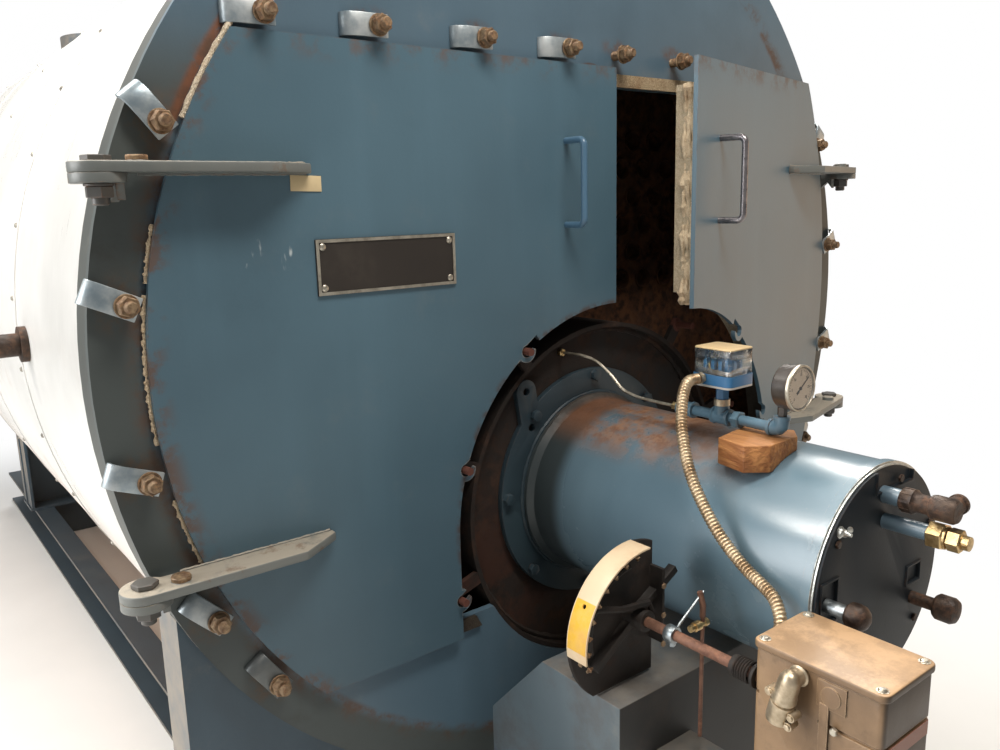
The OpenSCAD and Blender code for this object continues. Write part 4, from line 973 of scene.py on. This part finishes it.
hex_part(mesh, (x, y - 0.077, z), FORWARD, 0.0405, 0.026, 0.2, 0.002)
turned(mesh, [(0.102, 0.0), (0.102, 0.0185), (0.1045, 0.0190), (0.107, 0.0185), (0.1075, 0.0)],
       (x, y, z), FORWARD, 32)
hex_part(mesh, (x, y - 0.1075, z), FORWARD, 0.0335, 0.022, 0.6, 0.002)
turned(mesh, [(0.129, 0.0), (0.129, 0.0120), (0.1405, 0.0118), (0.1415, 0.0)], (x, y, z), FORWARD, 28)
settle("brass_adapters", mesh, brass)
mesh = bmesh.new()
rod(mesh, -0.003, 0.036, 0.0118, on_plate(-163, 0), FORWARD, 36)
settle("zinc_nipple", mesh, galvanised)
mesh = bmesh.new()
turned(mesh, [(0.0355, 0.0), (0.0355, 0.0170), (0.040, 0.0212), (0.050, 0.0220), (0.060, 0.0205),
              (0.067, 0.0150), (0.071, 0.0080), (0.072, 0.0)], on_plate(-163, 0), FORWARD, 40)
turned(mesh, [(-0.003, 0.0), (-0.003, 0.0118), (0.044, 0.0118), (0.045, 0.0195), (0.050, 0.0235),
              (0.074, 0.0238), (0.081, 0.0200), (0.084, 0.0110), (0.084, 0.0)],
       on_plate(118, -74), FORWARD, 40)
settle("round_plugs", mesh, old_iron)

mesh = bmesh.new()
x, y, z = on_plate(-138, 120)
turned(mesh, [(-0.001, 0.0), (-0.001, 0.0100), (0.0012, 0.0100), (0.0014, 0.0)], (x, y, z), FORWARD, 24)
turned(mesh, [(0.0014, 0.0), (0.0014, 0.0080), (0.010, 0.0062), (0.013, 0.0042), (0.020, 0.0032),
              (0.0205, 0.0)], (x, y, z), FORWARD, 20)
for s in (-1, 1):
    wing = (Matrix.Translation((x + s * 0.0125, y - 0.010, z + 0.003)) @ Matrix.Rotation(s * 0.5, 4, "Y")
            @ Matrix.Diagonal((0.0095, 0.0022, 0.0055, 1)))
    bmesh.ops.create_uvsphere(mesh, u_segments=12, v_segments=8, radius=1, matrix=wing)
settle("wing_nut", mesh, mouth)
mesh = bmesh.new()
for angle in (20, 75, 145, 205, 262, 318):
    a = math.radians(angle)
    hex_part(mesh, around((BURNER.x, FACE, BURNER.z), 0.176, a), FORWARD, 0.013, 0.005, a)
settle("end_plate_bolts", mesh, old_iron)


# Sensing tube: a thin bright tube from the furnace front to the gauge pipe,
# bent by hand, with a compression nut at each end.
tube_metal = bare_metal("tube_metal", srgb(206, 196, 178), srgb(172, 160, 140), roughness=0.3, metal=0.9)
dress(tube_metal, "sensing_tube")
mesh = bmesh.new()
hex_part(mesh, (0.020, -0.2630, CENTRE_H - 0.150), FORWARD, 0.0145, 0.0170, 0.2)
hex_part(mesh, (-0.013, 0.043, CENTRE_H - 0.073), FORWARD, 0.0160, 0.012, 0.2)
settle("compression_nuts", mesh, brass)


# Air box: folded and welded sheet under the burner, with the brackets of the cam
# and the motor. What faces up is dusty, and what faces forward is darkened with painted shade.
def box_marks(f):
    """Painted shade on what faces forward, dust on top, and brown patches."""
    # What faces forward gets painted shade, nearly black.
    return [((f.facing("Y") * -1).fade(0.3, 0.9) * 0.92, srgb(30, 27, 24)),
            (f.facing("Z").fade(0.3, 0.9) * f.noise(8, 6, 0.68).fade(0.25, 0.6) * 0.55, srgb(128, 114, 98)),
            (f.noise(5, 6, 0.7).fade(0.5, 0.68) * 0.4, srgb(70, 58, 50))]


box_paint = paint("box_paint", srgb(86, 98, 104), srgb(70, 82, 88), rust=0.4, dirt=0.6, gloss=0.45,
                  extra=box_marks)
softened("air_box_shell", "air_box", box_paint, 0.002)
softened("cam_foot", "cam_bracket", box_paint, 0.0012)
softened("motor_foot", "motor_bracket", box_paint, 0.0012)

# Cam: a dark dished plate on the shaft carries a flexible rim band, set by a row
# of screws. The band is cream with a yellow field.
dish_black = bare_metal("dish_black", srgb(38, 30, 25), srgb(22, 18, 15), rust=0.3, roughness=0.55,
                        metal=0.25, grain=30, dark=srgb(28, 20, 16), light=srgb(72, 48, 34))
softened("cam_plate", "cam_dish", dish_black, 0.0012)
CAM = Vector((-0.269, -0.425, CENTRE_H - 0.448))
BAND_Z = CAM.z - 0.012


def band_marks(f):
    """The yellow field over the band's upper part, and brown wear."""
    angle = f.node("ShaderNodeMath", {"operation": "ARCTAN2"},
                   [f.axis("Z") - BAND_Z, f.axis("X") - CAM.x])
    field = angle.fade(2.555, 2.560)
    inside = f.axis("Y").fade(-0.4185, -0.4190, 0.0, 1.0) * f.axis("Y").fade(-0.4620, -0.4612)
    wear = f.noise(40, 5, 0.7).fade(0.38, 0.6)
    return [(field * inside * (0.88 + wear * 0.12), srgb(212, 164, 36)),
            (f.noise(9, 6, 0.7).fade(0.50, 0.72) * 0.5, srgb(186, 140, 100)),
            (angle.fade(3.15, 3.6) * 0.3, srgb(170, 120, 60))]


band_white = paint("band_white", srgb(216, 198, 170), srgb(202, 180, 148), rust=0.0, worn=0.3, gloss=0.4,
                   dirt=0.15, edge=0.001, extra=band_marks, coat=0.05)
softened("rim_band", "cam_band", band_white, 0.0006, angle=40)

mesh = bmesh.new()
for k in range(9):
    a = math.radians(100 + 11.5 * k)
    spot = around((CAM.x, -0.4585, BAND_Z), 0.1435, a)
    inward = Vector((-math.cos(a), 0, -math.sin(a)))
    threaded(mesh, spot, inward, 0.0026, 0.0, 0.014, 0.0012)
    hex_part(mesh, spot + inward * 0.004, inward, 0.0085, 0.0035, 0.3 * k)
    hex_part(mesh, spot + Vector((0, 0.022, 0)) + inward * 0.004, inward, 0.0085, 0.0035, 0.2 * k)
for k in range(3):
    hex_part(mesh, (CAM.x + 0.049, -0.4520, BAND_Z + 0.060 - 0.055 * k), FORWARD, 0.010, 0.004, 0.4 * k)
settle("cam_screws", mesh, nut_rust)
mesh = bmesh.new()
swept(mesh, [around((CAM.x, -0.4270, BAND_Z), 0.105, math.radians(95 + 4 * k)) for k in range(26)], 0.0055, 8)
swept(mesh, [around((CAM.x, -0.440, BAND_Z), 0.118, math.radians(150)),
             (CAM.x + 0.06 * math.cos(math.radians(140)), -0.447, BAND_Z + 0.045),
             (CAM.x + 0.012, -0.452, CAM.z + 0.028), (CAM.x + 0.018, -0.455, CAM.z + 0.010)], 0.0060, 8)
settle("cam_ribs", mesh, dish_black)

# Cam shaft: rusty round bar from the drive motor, with a spring coupling at the
# motor, a clamped collar, a thin bright lever and a brass swivel.
shaft_rust = bare_metal("shaft_rust", srgb(128, 94, 76), srgb(94, 64, 52), rust=0.6, roughness=0.5,
                        metal=0.4, grain=40, dark=srgb(84, 54, 42), light=srgb(140, 98, 76))
BACKWARD = (0, 1, 0)
shaft_end = (CAM.x, -0.686, CAM.z)
mesh = bmesh.new()
turned(mesh, [(0.0, 0.0), (0.0, 0.0088), (0.298, 0.0088), (0.299, 0.0)], shaft_end, BACKWARD, 32)
settle("cam_rod", mesh, shaft_rust, stands_for=("cam_shaft",))
mesh = bmesh.new()
turned(mesh, [(0.001, 0.0095), (0.001, 0.0195), (0.005, 0.0200), (0.009, 0.0165), (0.009, 0.0095)],
       shaft_end, BACKWARD, 36)
for k in range(6):
    swept(mesh, [around((CAM.x, -0.674 + 0.0046 * (k + j / 24), CAM.z), 0.0165, math.tau * j / 24)
                 for j in range(25)], 0.0019, 6)
turned(mesh, [(0.036, 0.0095), (0.036, 0.0150), (0.038, 0.0165), (0.046, 0.0165), (0.046, 0.0095)],
       shaft_end, BACKWARD, 36)
settle("spring_coupling", mesh, dish_black)
mesh = bmesh.new()
turned(mesh, [(0, 0.0095), (0, 0.0136), (0.001, 0.0142), (0.017, 0.0142), (0.018, 0.0136), (0.018, 0.0095)],
       (CAM.x, -0.524, CAM.z), BACKWARD, 40)
hex_part(mesh, (CAM.x, -0.515, CAM.z - 0.013), DOWNWARD, 0.0115, 0.009, 0.3)
swept(mesh, [(CAM.x + 0.002, -0.5165, CAM.z - 0.002), (CAM.x + 0.018, -0.5165, CAM.z + 0.013),
             (CAM.x + 0.078, -0.5165, CAM.z + 0.052)], [0.0030, 0.0026, 0.0024], 8)
settle("collar_and_lever", mesh, galvanised)
mesh = bmesh.new()
turned(mesh, [(0.0, 0.0), (0.0, 0.0060), (0.010, 0.0060), (0.0105, 0.0085), (0.024, 0.0085),
              (0.0245, 0.0055), (0.034, 0.0055), (0.036, 0.0075), (0.044, 0.0070), (0.045, 0.0)],
       (CAM.x + 0.040, -0.520, CAM.z - 0.004), RIGHTWARD, 28)
settle("swivel", mesh, brass)
mesh = bmesh.new()
swept(mesh, [(CAM.x + 0.072, -0.5205, CAM.z + 0.012 - 0.010 * k) for k in range(24)], 0.0036, 10)
swept(mesh, [(CAM.x + 0.068, -0.5165, CAM.z + 0.054), (CAM.x + 0.072, -0.5205, CAM.z + 0.030),
             (CAM.x + 0.072, -0.5205, CAM.z + 0.008)], 0.0052, 10)
settle("damper_rod", mesh, shaft_rust)


# Drive motor: a cast case in two halves with a flat lid and a screw in each
# corner. Worn grey-brown paint, rubbed bright along its edges.
def cast_metal(name, colour, shade, edge=0.003):
    """Painted casting: dust and painted light on top, painted shade in front, and rubbed along its edges."""
    f = Finish(name)
    clouds = f.noise(6, 5).fade(0.3, 0.7)
    grain = f.noise(420, 2)
    body = f.mix(clouds, shade, colour)
    body = f.mix(f.noise(40, 6, 0.7).fade(0.52, 0.72) * 0.4, body, tuple(c * 0.6 for c in shade))
    rubbed = f.noise(14, 7, 0.72).fade(0.42, 0.62)
    # Dust and painted light: what faces up gets a lighter copy of the colour.
    dust_and_top_light = f.facing("Z").fade(0.6, 0.95) * (rubbed * 0.5 + 0.3)
    body = f.mix(dust_and_top_light, body, tuple(min(1.0, c * 1.7) for c in colour))
    # Painted shade: what faces forward gets a much darker copy of the colour.
    body = f.mix((f.facing("Y") * -1).fade(0.5, 0.95) * 0.88, body, tuple(c * 0.22 for c in shade))
    wear = f.edges(edge) * f.noise(60, 5, 0.7).fade(0.3, 0.6)
    body = f.mix(wear * 0.8, body, srgb(214, 190, 158))
    f.shine(Base_Color=body, Metallic=wear * 0.5, Roughness=clouds * 0.1 + 0.42 - wear * 0.08,
            Normal=f.bump(grain * 0.35 + clouds, 0.0006))
    return f


cast = cast_metal("cast", srgb(148, 120, 90), srgb(112, 88, 64))
softened("motor_case", "drive_motor", cast, 0.0018, angle=40)
softened("motor_top", "motor_lid", cast, 0.0030, angle=40, segments=3)
lid_low, lid_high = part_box("motor_lid")
SCREW_IN = 0.014
LEFTWARD = (-1, 0, 0)
mesh = bmesh.new()
for x in (lid_low[0] + SCREW_IN, lid_high[0] - SCREW_IN):
    for y in (lid_low[1] + SCREW_IN, lid_high[1] - SCREW_IN):
        turned(mesh, [(-0.002, 0.0), (-0.002, 0.0085), (0.0008, 0.0085), (0.001, 0.0062), (0.0016, 0.0062),
                      (0.0034, 0.0046), (0.0038, 0.0)], (x, y, lid_high[2]), UPWARD, 24)
hex_part(mesh, (lid_low[0] + 0.002, -0.8200, CENTRE_H - 0.463), LEFTWARD, 0.0105, 0.0070, 0.2)
settle("lid_screws", mesh, silver)
mesh = bmesh.new()
label_place = (Matrix.Translation((lid_low[0] + 0.070, -0.8864, CENTRE_H - 0.475))
               @ Matrix.Rotation(math.pi / 2, 4, "X") @ Matrix.Diagonal((0.112, 0.022, 1, 1)))
bmesh.ops.create_grid(mesh, x_segments=1, y_segments=1, size=0.5, matrix=label_place)
made = bmesh.ops.extrude_face_region(mesh, geom=list(mesh.faces))["geom"]
bmesh.ops.translate(mesh, verts=verts_in(made), vec=(0, -0.0012, 0))
bmesh.ops.recalc_face_normals(mesh, faces=mesh.faces)
motor_label = paint("motor_label", srgb(150, 96, 74), srgb(126, 80, 62), rust=0.0, worn=0.4, gloss=0.5,
                    dirt=0.3, edge=0.001)
settle("motor_label_bare", mesh, motor_label)

# Connectors: a die-cast elbow with a split clamp and three screws sits on the
# motor's side. Small ones hold the conduit at the motor's back and the switch.
die_cast = bare_metal("die_cast", srgb(196, 180, 156), srgb(160, 144, 120), rust=0.05, roughness=0.34,
                      metal=0.8)
NOSE = Vector((-0.309, -0.762, CENTRE_H - 0.405))
LEAN = math.radians(14)
DOWN = Vector((0, math.sin(LEAN), -math.cos(LEAN)))
ACROSS = Vector((0, -math.cos(LEAN), -math.sin(LEAN)))
mesh = bmesh.new()
turned(mesh, [(0.0, 0.0), (0.0, 0.0152), (0.004, 0.0156), (0.006, 0.0128), (0.026, 0.0126), (0.027, 0.0)],
       (-0.2835, NOSE.y, NOSE.z), LEFTWARD, 36)
turned(mesh, [(-0.0164, 0.0), (-0.0150, 0.0070), (-0.0110, 0.0118), (-0.004, 0.0150), (0.006, 0.0162),
              (0.022, 0.0160), (0.026, 0.0176), (0.032, 0.0179), (0.034, 0.0150), (0.036, 0.0150),
              (0.037, 0.0179), (0.062, 0.0179), (0.0685, 0.0168), (0.0690, 0.0105), (0.060, 0.0100),
              (0.060, 0.0)], NOSE, DOWN, 40)
for s, along in ((1, 0.046), (-1, 0.030), (1, 0.062)):
    spot = NOSE + DOWN * along + ACROSS * s * 0.0205
    rod(mesh, -0.009, 0.009, 0.0066, spot, LEFTWARD, 20)
    turned(mesh, [(0.009, 0.0), (0.009, 0.0048), (0.0115, 0.0042), (0.0122, 0.0)], spot, LEFTWARD, 20)
settle("motor_connector", mesh, die_cast, stands_for=("conduit_connector",))
mesh = bmesh.new()
turned(mesh, [(0.0, 0.0), (0.0, 0.0148), (0.005, 0.0150), (0.006, 0.0130), (0.0130, 0.0130), (0.0135, 0.0)],
       (-0.180, -0.686, CENTRE_H - 0.420), BACKWARD, 32)
hex_part(mesh, (-0.018, -0.365, CENTRE_H - 0.072), LEFTWARD, 0.0190, 0.005, 0.2)
turned(mesh, [(0.005, 0.0), (0.005, 0.0098), (0.010, 0.0108), (0.0130, 0.0108), (0.0135, 0.0)],
       (-0.018, -0.365, CENTRE_H - 0.072), LEFTWARD, 28)
settle("small_connectors", mesh, die_cast)


# Flexible conduit: interlocked steel strip, tan-silver, held at both ends. It
# drops from the switch past the burner to the back of the drive motor.
# Its points are in mm, from the front plate and the boiler's centre line.
FLEX_ROUTE = [(-34.4, -365, -72), (-42, -365, -72), (-52, -365, -72), (-66, -368, -76), (-82, -374, -90),
              (-98, -384, -114), (-112, -396, -143), (-124, -412, -172), (-135, -430, -200),
              (-144, -452, -230), (-149, -478, -262), (-149, -505, -296), (-147, -535, -327),
              (-148, -572, -352), (-152, -606, -366), (-158, -632, -378), (-168, -650, -396),
              (-177, -658, -414), (-180, -662, -420), (-180, -672.1, -420)]
route = [Vector((x / 1000, y / 1000, CENTRE_H + z / 1000)) for x, y, z in FLEX_ROUTE]


def rounded_path(points, step):
    """A smooth line through the points, cut into equal steps."""
    fine = []
    for i in range(len(points) - 1):
        a, b = points[max(i - 1, 0)], points[i]
        c, d = points[i + 1], points[min(i + 2, len(points) - 1)]
        for k in range(24):
            u = k / 24
            fine.append((2 * b + (c - a) * u + (2 * a - 5 * b + 4 * c - d) * u * u
                         + (3 * b - a - 3 * c + d) * u ** 3) / 2)
    fine.append(points[-1])
    lengths = [0.0]
    for a, b in zip(fine, fine[1:]):
        lengths.append(lengths[-1] + (b - a).length)
    count = max(2, round(lengths[-1] / step))
    even, i = [], 0
    for k in range(count + 1):
        goal = lengths[-1] * k / count
        while i < len(fine) - 2 and lengths[i + 1] < goal:
            i += 1
        span = max(lengths[i + 1] - lengths[i], 1e-9)
        even.append(fine[i].lerp(fine[i + 1], min(1.0, (goal - lengths[i]) / span)))
    return even, lengths[-1]


centreline, flex_length = rounded_path(route, 0.0016)
RIB_RADII = (0.0110, 0.0107, 0.0092, 0.0104)
mesh = bmesh.new()
swept(mesh, centreline, [RIB_RADII[k % len(RIB_RADII)] for k in range(len(centreline))], 14)
conduit_metal = Finish("conduit_metal")
tone = conduit_metal.noise(30, 5).fade(0.3, 0.7)
conduit_metal.shine(
    Base_Color=conduit_metal.mix(tone, srgb(150, 124, 94), srgb(206, 186, 156)),
    Metallic=0.75, Roughness=tone * 0.15 + 0.32,
    Normal=conduit_metal.bump(conduit_metal.noise(300, 2), 0.0003))
flex = settle("flexible_conduit", mesh, conduit_metal, stands_for=("flex_conduit",), sharp=70)


# Gauge pipe: blue pipe with a union and an elbow, resting on a wooden block;
# a tee under the switch takes the sensing tube.
pipe_paint = paint("pipe_paint", srgb(96, 126, 142), srgb(76, 104, 120), rust=0.35, worn=0.8, gloss=0.34)
PIPE = Vector((0.020, 0, CENTRE_H - 0.150))
PIPE_START = (PIPE.x, -0.290, PIPE.z)
mesh = bmesh.new()
rod(mesh, 0.0, 0.225, 0.0100, PIPE_START, FORWARD, 36)
for start, length, radius in ((-0.0095, 0.038, 0.0158), (0.074, 0.040, 0.0160)):
    end = start + length
    turned(mesh, [(start, 0.0098), (start, radius), (start + 0.005, radius + 0.0006),
                  (start + 0.007, radius - 0.0012), (end - 0.007, radius - 0.0012),
                  (end - 0.005, radius + 0.0006), (end, radius), (end, 0.0098)],
           PIPE_START, FORWARD, 36)
hex_part(mesh, (PIPE.x, -0.4125, PIPE.z), FORWARD, 0.0290, 0.015, 0.3, 0.0015)
TEE_Y = -0.383
turned(mesh, [(0.0, 0.0), (0.0, 0.0142), (0.0225, 0.0142), (0.0240, 0.0148), (0.0270, 0.0148), (0.0270, 0.0)],
       (PIPE.x, TEE_Y, PIPE.z + 0.0002), UPWARD, 32)
# Each row of the elbow is a place along Y, a rise and a radius.
ELBOW = ((-0.4900, 0.0, 0.0152), (-0.4960, 0.0, 0.0152), (-0.4962, 0.0, 0.0134), (-0.5000, 0.0, 0.0134),
         (-0.5090, 0.0016, 0.0136), (-0.5140, 0.0065, 0.0138), (-0.5150, 0.0140, 0.0136),
         (-0.5150, 0.0170, 0.0134), (-0.5150, 0.0172, 0.0150), (-0.5150, 0.0238, 0.0150))
swept(mesh, [(PIPE.x, y, PIPE.z + rise) for y, rise, radius in ELBOW],
      [radius for y, rise, radius in ELBOW], 24)
settle("gauge_pipe", mesh, pipe_paint, stands_for=("gauge_manifold",))

wood = Finish("wood")
rings = wood.noise(9, 5, stretch=(7, 1, 7), distortion=0.6).fade(0.32, 0.68)
fibres = wood.noise(120, 3, stretch=(1, 0.06, 1)).fade(0.4, 0.6)
timber = wood.mix(rings, srgb(128, 76, 36), srgb(176, 120, 68))
timber = wood.mix(fibres * 0.3, timber, srgb(120, 72, 36))
timber = wood.mix(wood.facing("Z").fade(0.4, 0.9) * 0.3, timber, srgb(190, 140, 90))
wood.shine(Base_Color=timber, Roughness=rings * 0.1 + 0.55, Normal=wood.bump(fibres + rings * 0.5, 0.0006))
softened("wooden_rest", "pipe_rest", wood, 0.0022)


# Pressure gauge: a black case with a worn bezel, a pale dial with a plain
# scale, a pointer and a flat glass.
case_black = paint("case_black", srgb(58, 47, 39), srgb(38, 31, 27), rust=0.05, worn=0.9, gloss=0.3,
                   dirt=0.2, edge=0.002, coat=0.3)
GAUGE = Vector((0.020, -0.515, CENTRE_H - 0.070))
mesh = bmesh.new()
turned(mesh, [(-0.002, 0.0), (-0.002, 0.030), (0.000, 0.0375), (0.003, 0.0396), (0.024, 0.0399),
              (0.0245, 0.0412), (0.0300, 0.0414), (0.0302, 0.0)], GAUGE, FORWARD, 72)
hex_part(mesh, GAUGE + Vector((0, 0, -0.0562)), UPWARD, 0.0155, 0.0205, 0.3)
settle("gauge_case", mesh, case_black, stands_for=("pressure_gauge",))
mesh = bmesh.new()
turned(mesh, [(0.0300, 0.0403), (0.0302, 0.0414), (0.031, 0.0420), (0.0355, 0.0420), (0.0370, 0.0410),
              (0.0370, 0.0382), (0.0332, 0.0370), (0.0330, 0.0403), (0.0300, 0.0403)], GAUGE, FORWARD, 72)
settle("gauge_bezel", mesh, silver)

dial = paint("dial", srgb(206, 186, 160), srgb(190, 168, 142), rust=0.0, worn=0.0, gloss=0.5, dirt=0.1,
             edge=0.0005, coat=0.0)
mesh = bmesh.new()
rod(mesh, 0.0331, 0.0334, 0.0360, GAUGE, FORWARD, 64)
settle("gauge_dial", mesh, dial)
ink = Finish("ink")
ink.shine(Base_Color=ink.mix(ink.noise(200, 2), srgb(40, 34, 30), srgb(56, 48, 42)), Roughness=0.6)
FIRST_MARK = 225
ON_DIAL = Vector((0, -0.0336, 0))
mesh = bmesh.new()
for k in range(31):
    a = math.radians(FIRST_MARK - 9 * k)
    long, wide = (0.0052, 0.0009) if k % 5 == 0 else (0.0030, 0.0005)
    spot = around(GAUGE, 0.0335 - long / 2, a) + ON_DIAL
    cuboid(mesh, Matrix.Translation(spot) @ Matrix.Rotation(-a, 4, "Y"), long, 0.0003, wide)
pointer = math.radians(38)
for start, end, wide in ((-0.010, 0.0285, 0.0022), (-0.014, -0.006, 0.0050)):
    spot = around(GAUGE, (start + end) / 2, pointer) + Vector((0, -0.0343, 0))
    cuboid(mesh, Matrix.Translation(spot) @ Matrix.Rotation(-pointer, 4, "Y"), end - start, 0.0005, wide)
turned(mesh, [(0.0333, 0.0), (0.0333, 0.0034), (0.0352, 0.0030), (0.0354, 0.0)], GAUGE, FORWARD, 20)
settle("gauge_marks", mesh, ink)
for k in range(7):
    a = math.radians(FIRST_MARK - 45 * k)
    words = bpy.data.curves.new("gauge_number_%d" % (k * 5), "FONT")
    words.body = str(k * 5)
    words.size = 0.0068
    words.align_x = "CENTER"
    words.align_y = "CENTER"
    words.extrude = 0.00012
    shown = bpy.data.objects.new("scratch_number", words)
    scene.collection.objects.link(shown)
    bpy.context.view_layer.update()
    solid = bpy.data.meshes.new_from_object(shown.evaluated_get(bpy.context.evaluated_depsgraph_get()))
    bpy.data.objects.remove(shown)
    mesh = bmesh.new()
    mesh.from_mesh(solid)
    spot = around(GAUGE, 0.0248, a) + ON_DIAL
    upright = Matrix.Translation(spot) @ Matrix.Rotation(math.pi / 2, 4, "X")
    bmesh.ops.transform(mesh, matrix=upright, verts=mesh.verts)
    settle("gauge_number_%d" % (k * 5), mesh, ink)
glass = Finish("glass")
glass.shine(Base_Color=(1.0, 1.0, 1.0), Roughness=0.04, IOR=1.45, Transmission_Weight=1.0,
            Normal=glass.bump(glass.noise(40, 2), 0.00005))
mesh = bmesh.new()
rod(mesh, 0.0359, 0.0366, 0.0372, GAUGE, FORWARD, 64)
settle("gauge_glass", mesh, glass)


# Pressure switch: a blue moulded base with a pale rim, working parts inside
# and a clear cover that has yellowed on top.
switch_blue = paint("switch_blue", srgb(62, 118, 160), srgb(48, 98, 140), rust=0.0, worn=0.15, gloss=0.32,
                    dirt=0.3, edge=0.001)
base_low, base_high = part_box("switch_base")
cover_low, cover_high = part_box("switch_cover")


def tray(mesh, low, high, cut, wall=None):
    """A box with cut upright corners, hollow from the top where wall is given."""
    cx, cy = (low[0] + high[0]) / 2, (low[1] + high[1]) / 2
    wide, deep, tall = high[0] - low[0], high[1] - low[1], high[2] - low[2]
    middle = Matrix.Translation((cx, cy, (low[2] + high[2]) / 2))
    made = cuboid(mesh, middle, wide, deep, tall)
    upright = [e for e in edges_of(made) if abs(e.verts[0].co.z - e.verts[1].co.z) > tall * 0.9]
    eased(mesh, upright, cut, 3)
    if wall:
        top = max((f for f in mesh.faces if f.normal.z > 0.99), key=lambda f: f.calc_center_median().z)
        bmesh.ops.inset_region(mesh, faces=[top], thickness=wall, use_even_offset=True)
        inner = bmesh.ops.extrude_face_region(mesh, geom=[top])["geom"]
        bmesh.ops.delete(mesh, geom=[top], context="FACES_ONLY")
        bmesh.ops.translate(mesh, verts=verts_in(inner), vec=(0, 0, -tall + wall))


(x0, y0), (x1, y1), floor_z = base_low[:2], base_high[:2], base_high[2]
mesh = bmesh.new()
tray(mesh, (x0, y0, floor_z - 0.020), (x1, y1, floor_z), 0.011, 0.003)
tray(mesh, (x0 + 0.012, y0 + 0.016, floor_z - 0.010), (x1 - 0.040, y1 - 0.014, floor_z + 0.017), 0.003)
tray(mesh, (x0 + 0.040, y0 + 0.010, floor_z - 0.010), (x1 - 0.014, y1 - 0.050, floor_z + 0.010), 0.003)
turned(mesh, [(0.0, 0.0), (0.0, 0.0128), (0.024, 0.0128), (0.026, 0.0200), (0.0325, 0.0200), (0.0325, 0.0)],
       (PIPE.x, TEE_Y, PIPE.z + 0.034), UPWARD, 6)
for x in (0.009, 0.026, 0.043):
    turned(mesh, [(-0.004, 0.0), (-0.004, 0.0055), (0.030, 0.0050), (0.031, 0.0)],
           (x0 + x, y0 + 0.012, floor_z), UPWARD, 4)
    turned(mesh, [(-0.004, 0.0), (-0.004, 0.0060), (0.026, 0.0055), (0.027, 0.0)],
           (x0 + 0.010, y0 + x + 0.018, floor_z), UPWARD, 4)
settle("switch_body", mesh, switch_blue, stands_for=("switch_base",))
mesh = bmesh.new()
rod(mesh, 0.022, 0.0345, 0.0152, (PIPE.x, TEE_Y, PIPE.z), UPWARD, 32)
settle("switch_nipple", mesh, die_cast)
pale = paint("pale", srgb(196, 190, 182), srgb(172, 166, 158), rust=0.0, worn=0.3, gloss=0.4, dirt=0.4,
             edge=0.001)
mesh = bmesh.new()
tray(mesh, (x0, y0, floor_z - 0.0239), (x1, y1, floor_z - 0.0202), 0.011)
settle("switch_rim", mesh, pale)
mesh = bmesh.new()
inside = Vector(((x0 + x1) / 2, (y0 + y1) / 2, floor_z))
swept(mesh, [inside + Vector((-0.022, -0.026, 0.016)), inside + Vector((-0.016, -0.020, 0.030)),
             inside + Vector((-0.002, -0.010, 0.036)), inside + Vector((0.012, -0.012, 0.030))], 0.0042, 10)
turned(mesh, [(-0.004, 0.0), (-0.004, 0.0045), (0.016, 0.0045), (0.018, 0.0)],
       inside + Vector((0.016, 0.020, 0.0)), UPWARD, 20)
turned(mesh, [(-0.004, 0.0), (-0.004, 0.0035), (0.030, 0.0035), (0.031, 0.0)],
       inside + Vector((0.024, -0.010, 0.0)), UPWARD, 16)
for x in (-0.018, -0.006, 0.006, 0.018):
    turned(mesh, [(-0.004, 0.0), (-0.004, 0.0026), (0.021, 0.0026), (0.0225, 0.0)],
           inside + Vector((x - 0.008, 0.010, 0.0)), UPWARD, 12)
settle("switch_works", mesh, brass)
clear = Finish("clear")
clear.shine(Base_Color=(0.93, 0.95, 0.94), Roughness=clear.noise(30, 5, 0.7).fade(0.4, 0.7, 0.10, 0.34),
            IOR=1.46, Transmission_Weight=1.0, Normal=clear.bump(clear.noise(18, 3), 0.0004))
mesh = bmesh.new()
tray(mesh, (*cover_low[:2], cover_low[2] + 0.0005), (*cover_high[:2], cover_high[2] - 0.0020), 0.009)
bmesh.ops.delete(mesh, geom=[f for f in mesh.faces if abs(f.normal.z) > 0.99], context="FACES_ONLY")
shell = settle("switch_window", mesh, clear, stands_for=("switch_cover",))
walls = shell.modifiers.new("walls", "SOLIDIFY")
walls.thickness = 0.0016
walls.offset = -1
tan_top = paint("tan_top", srgb(222, 196, 152), srgb(204, 174, 128), rust=0.0, worn=0.2, gloss=0.3,
                dirt=0.35, edge=0.001, coat=0.2)
mesh = bmesh.new()
tray(mesh, (*cover_low[:2], cover_high[2] - 0.0034), tuple(cover_high), 0.009)
soft = [e for e in mesh.edges if e.is_manifold and e.calc_face_angle(0) > 1.0]
eased(mesh, soft, 0.0009)
settle("switch_lid", mesh, tan_top)


# Base: saddles, channels and cross beams of welded plate under the same blue,
# darker, with grease and rust low down. The rear cover and the flue's outlet
# wear the same paint, and the outlets on top are bare steel.
def stand_marks(f):
    """Dust and painted light on what faces left, and grease low down."""
    # Pale dust with painted light on the faces turned to the left, where the lamp falls.
    left = (f.facing("X") * -1).fade(0.5, 0.95) * f.noise(5, 6, 0.7).fade(0.25, 0.6)
    return [(left * 0.6, srgb(158, 142, 122)), (f.axis("Z").fade(0.1, 0.5, 0.5, 0.0), srgb(52, 50, 46))]


stand_paint = paint("stand_paint", srgb(62, 84, 98), srgb(50, 69, 82), rust=0.4, dirt=0.6, gloss=0.42,
                    extra=stand_marks)
dress(stand_paint, "rear_cover", "flue_outlet", "front_saddle", "rear_saddle", "skid_rails", "skid_crossbars")
dress(steel, "steam_outlet", "valve_outlets")
dress(old_iron, "side_nozzle")
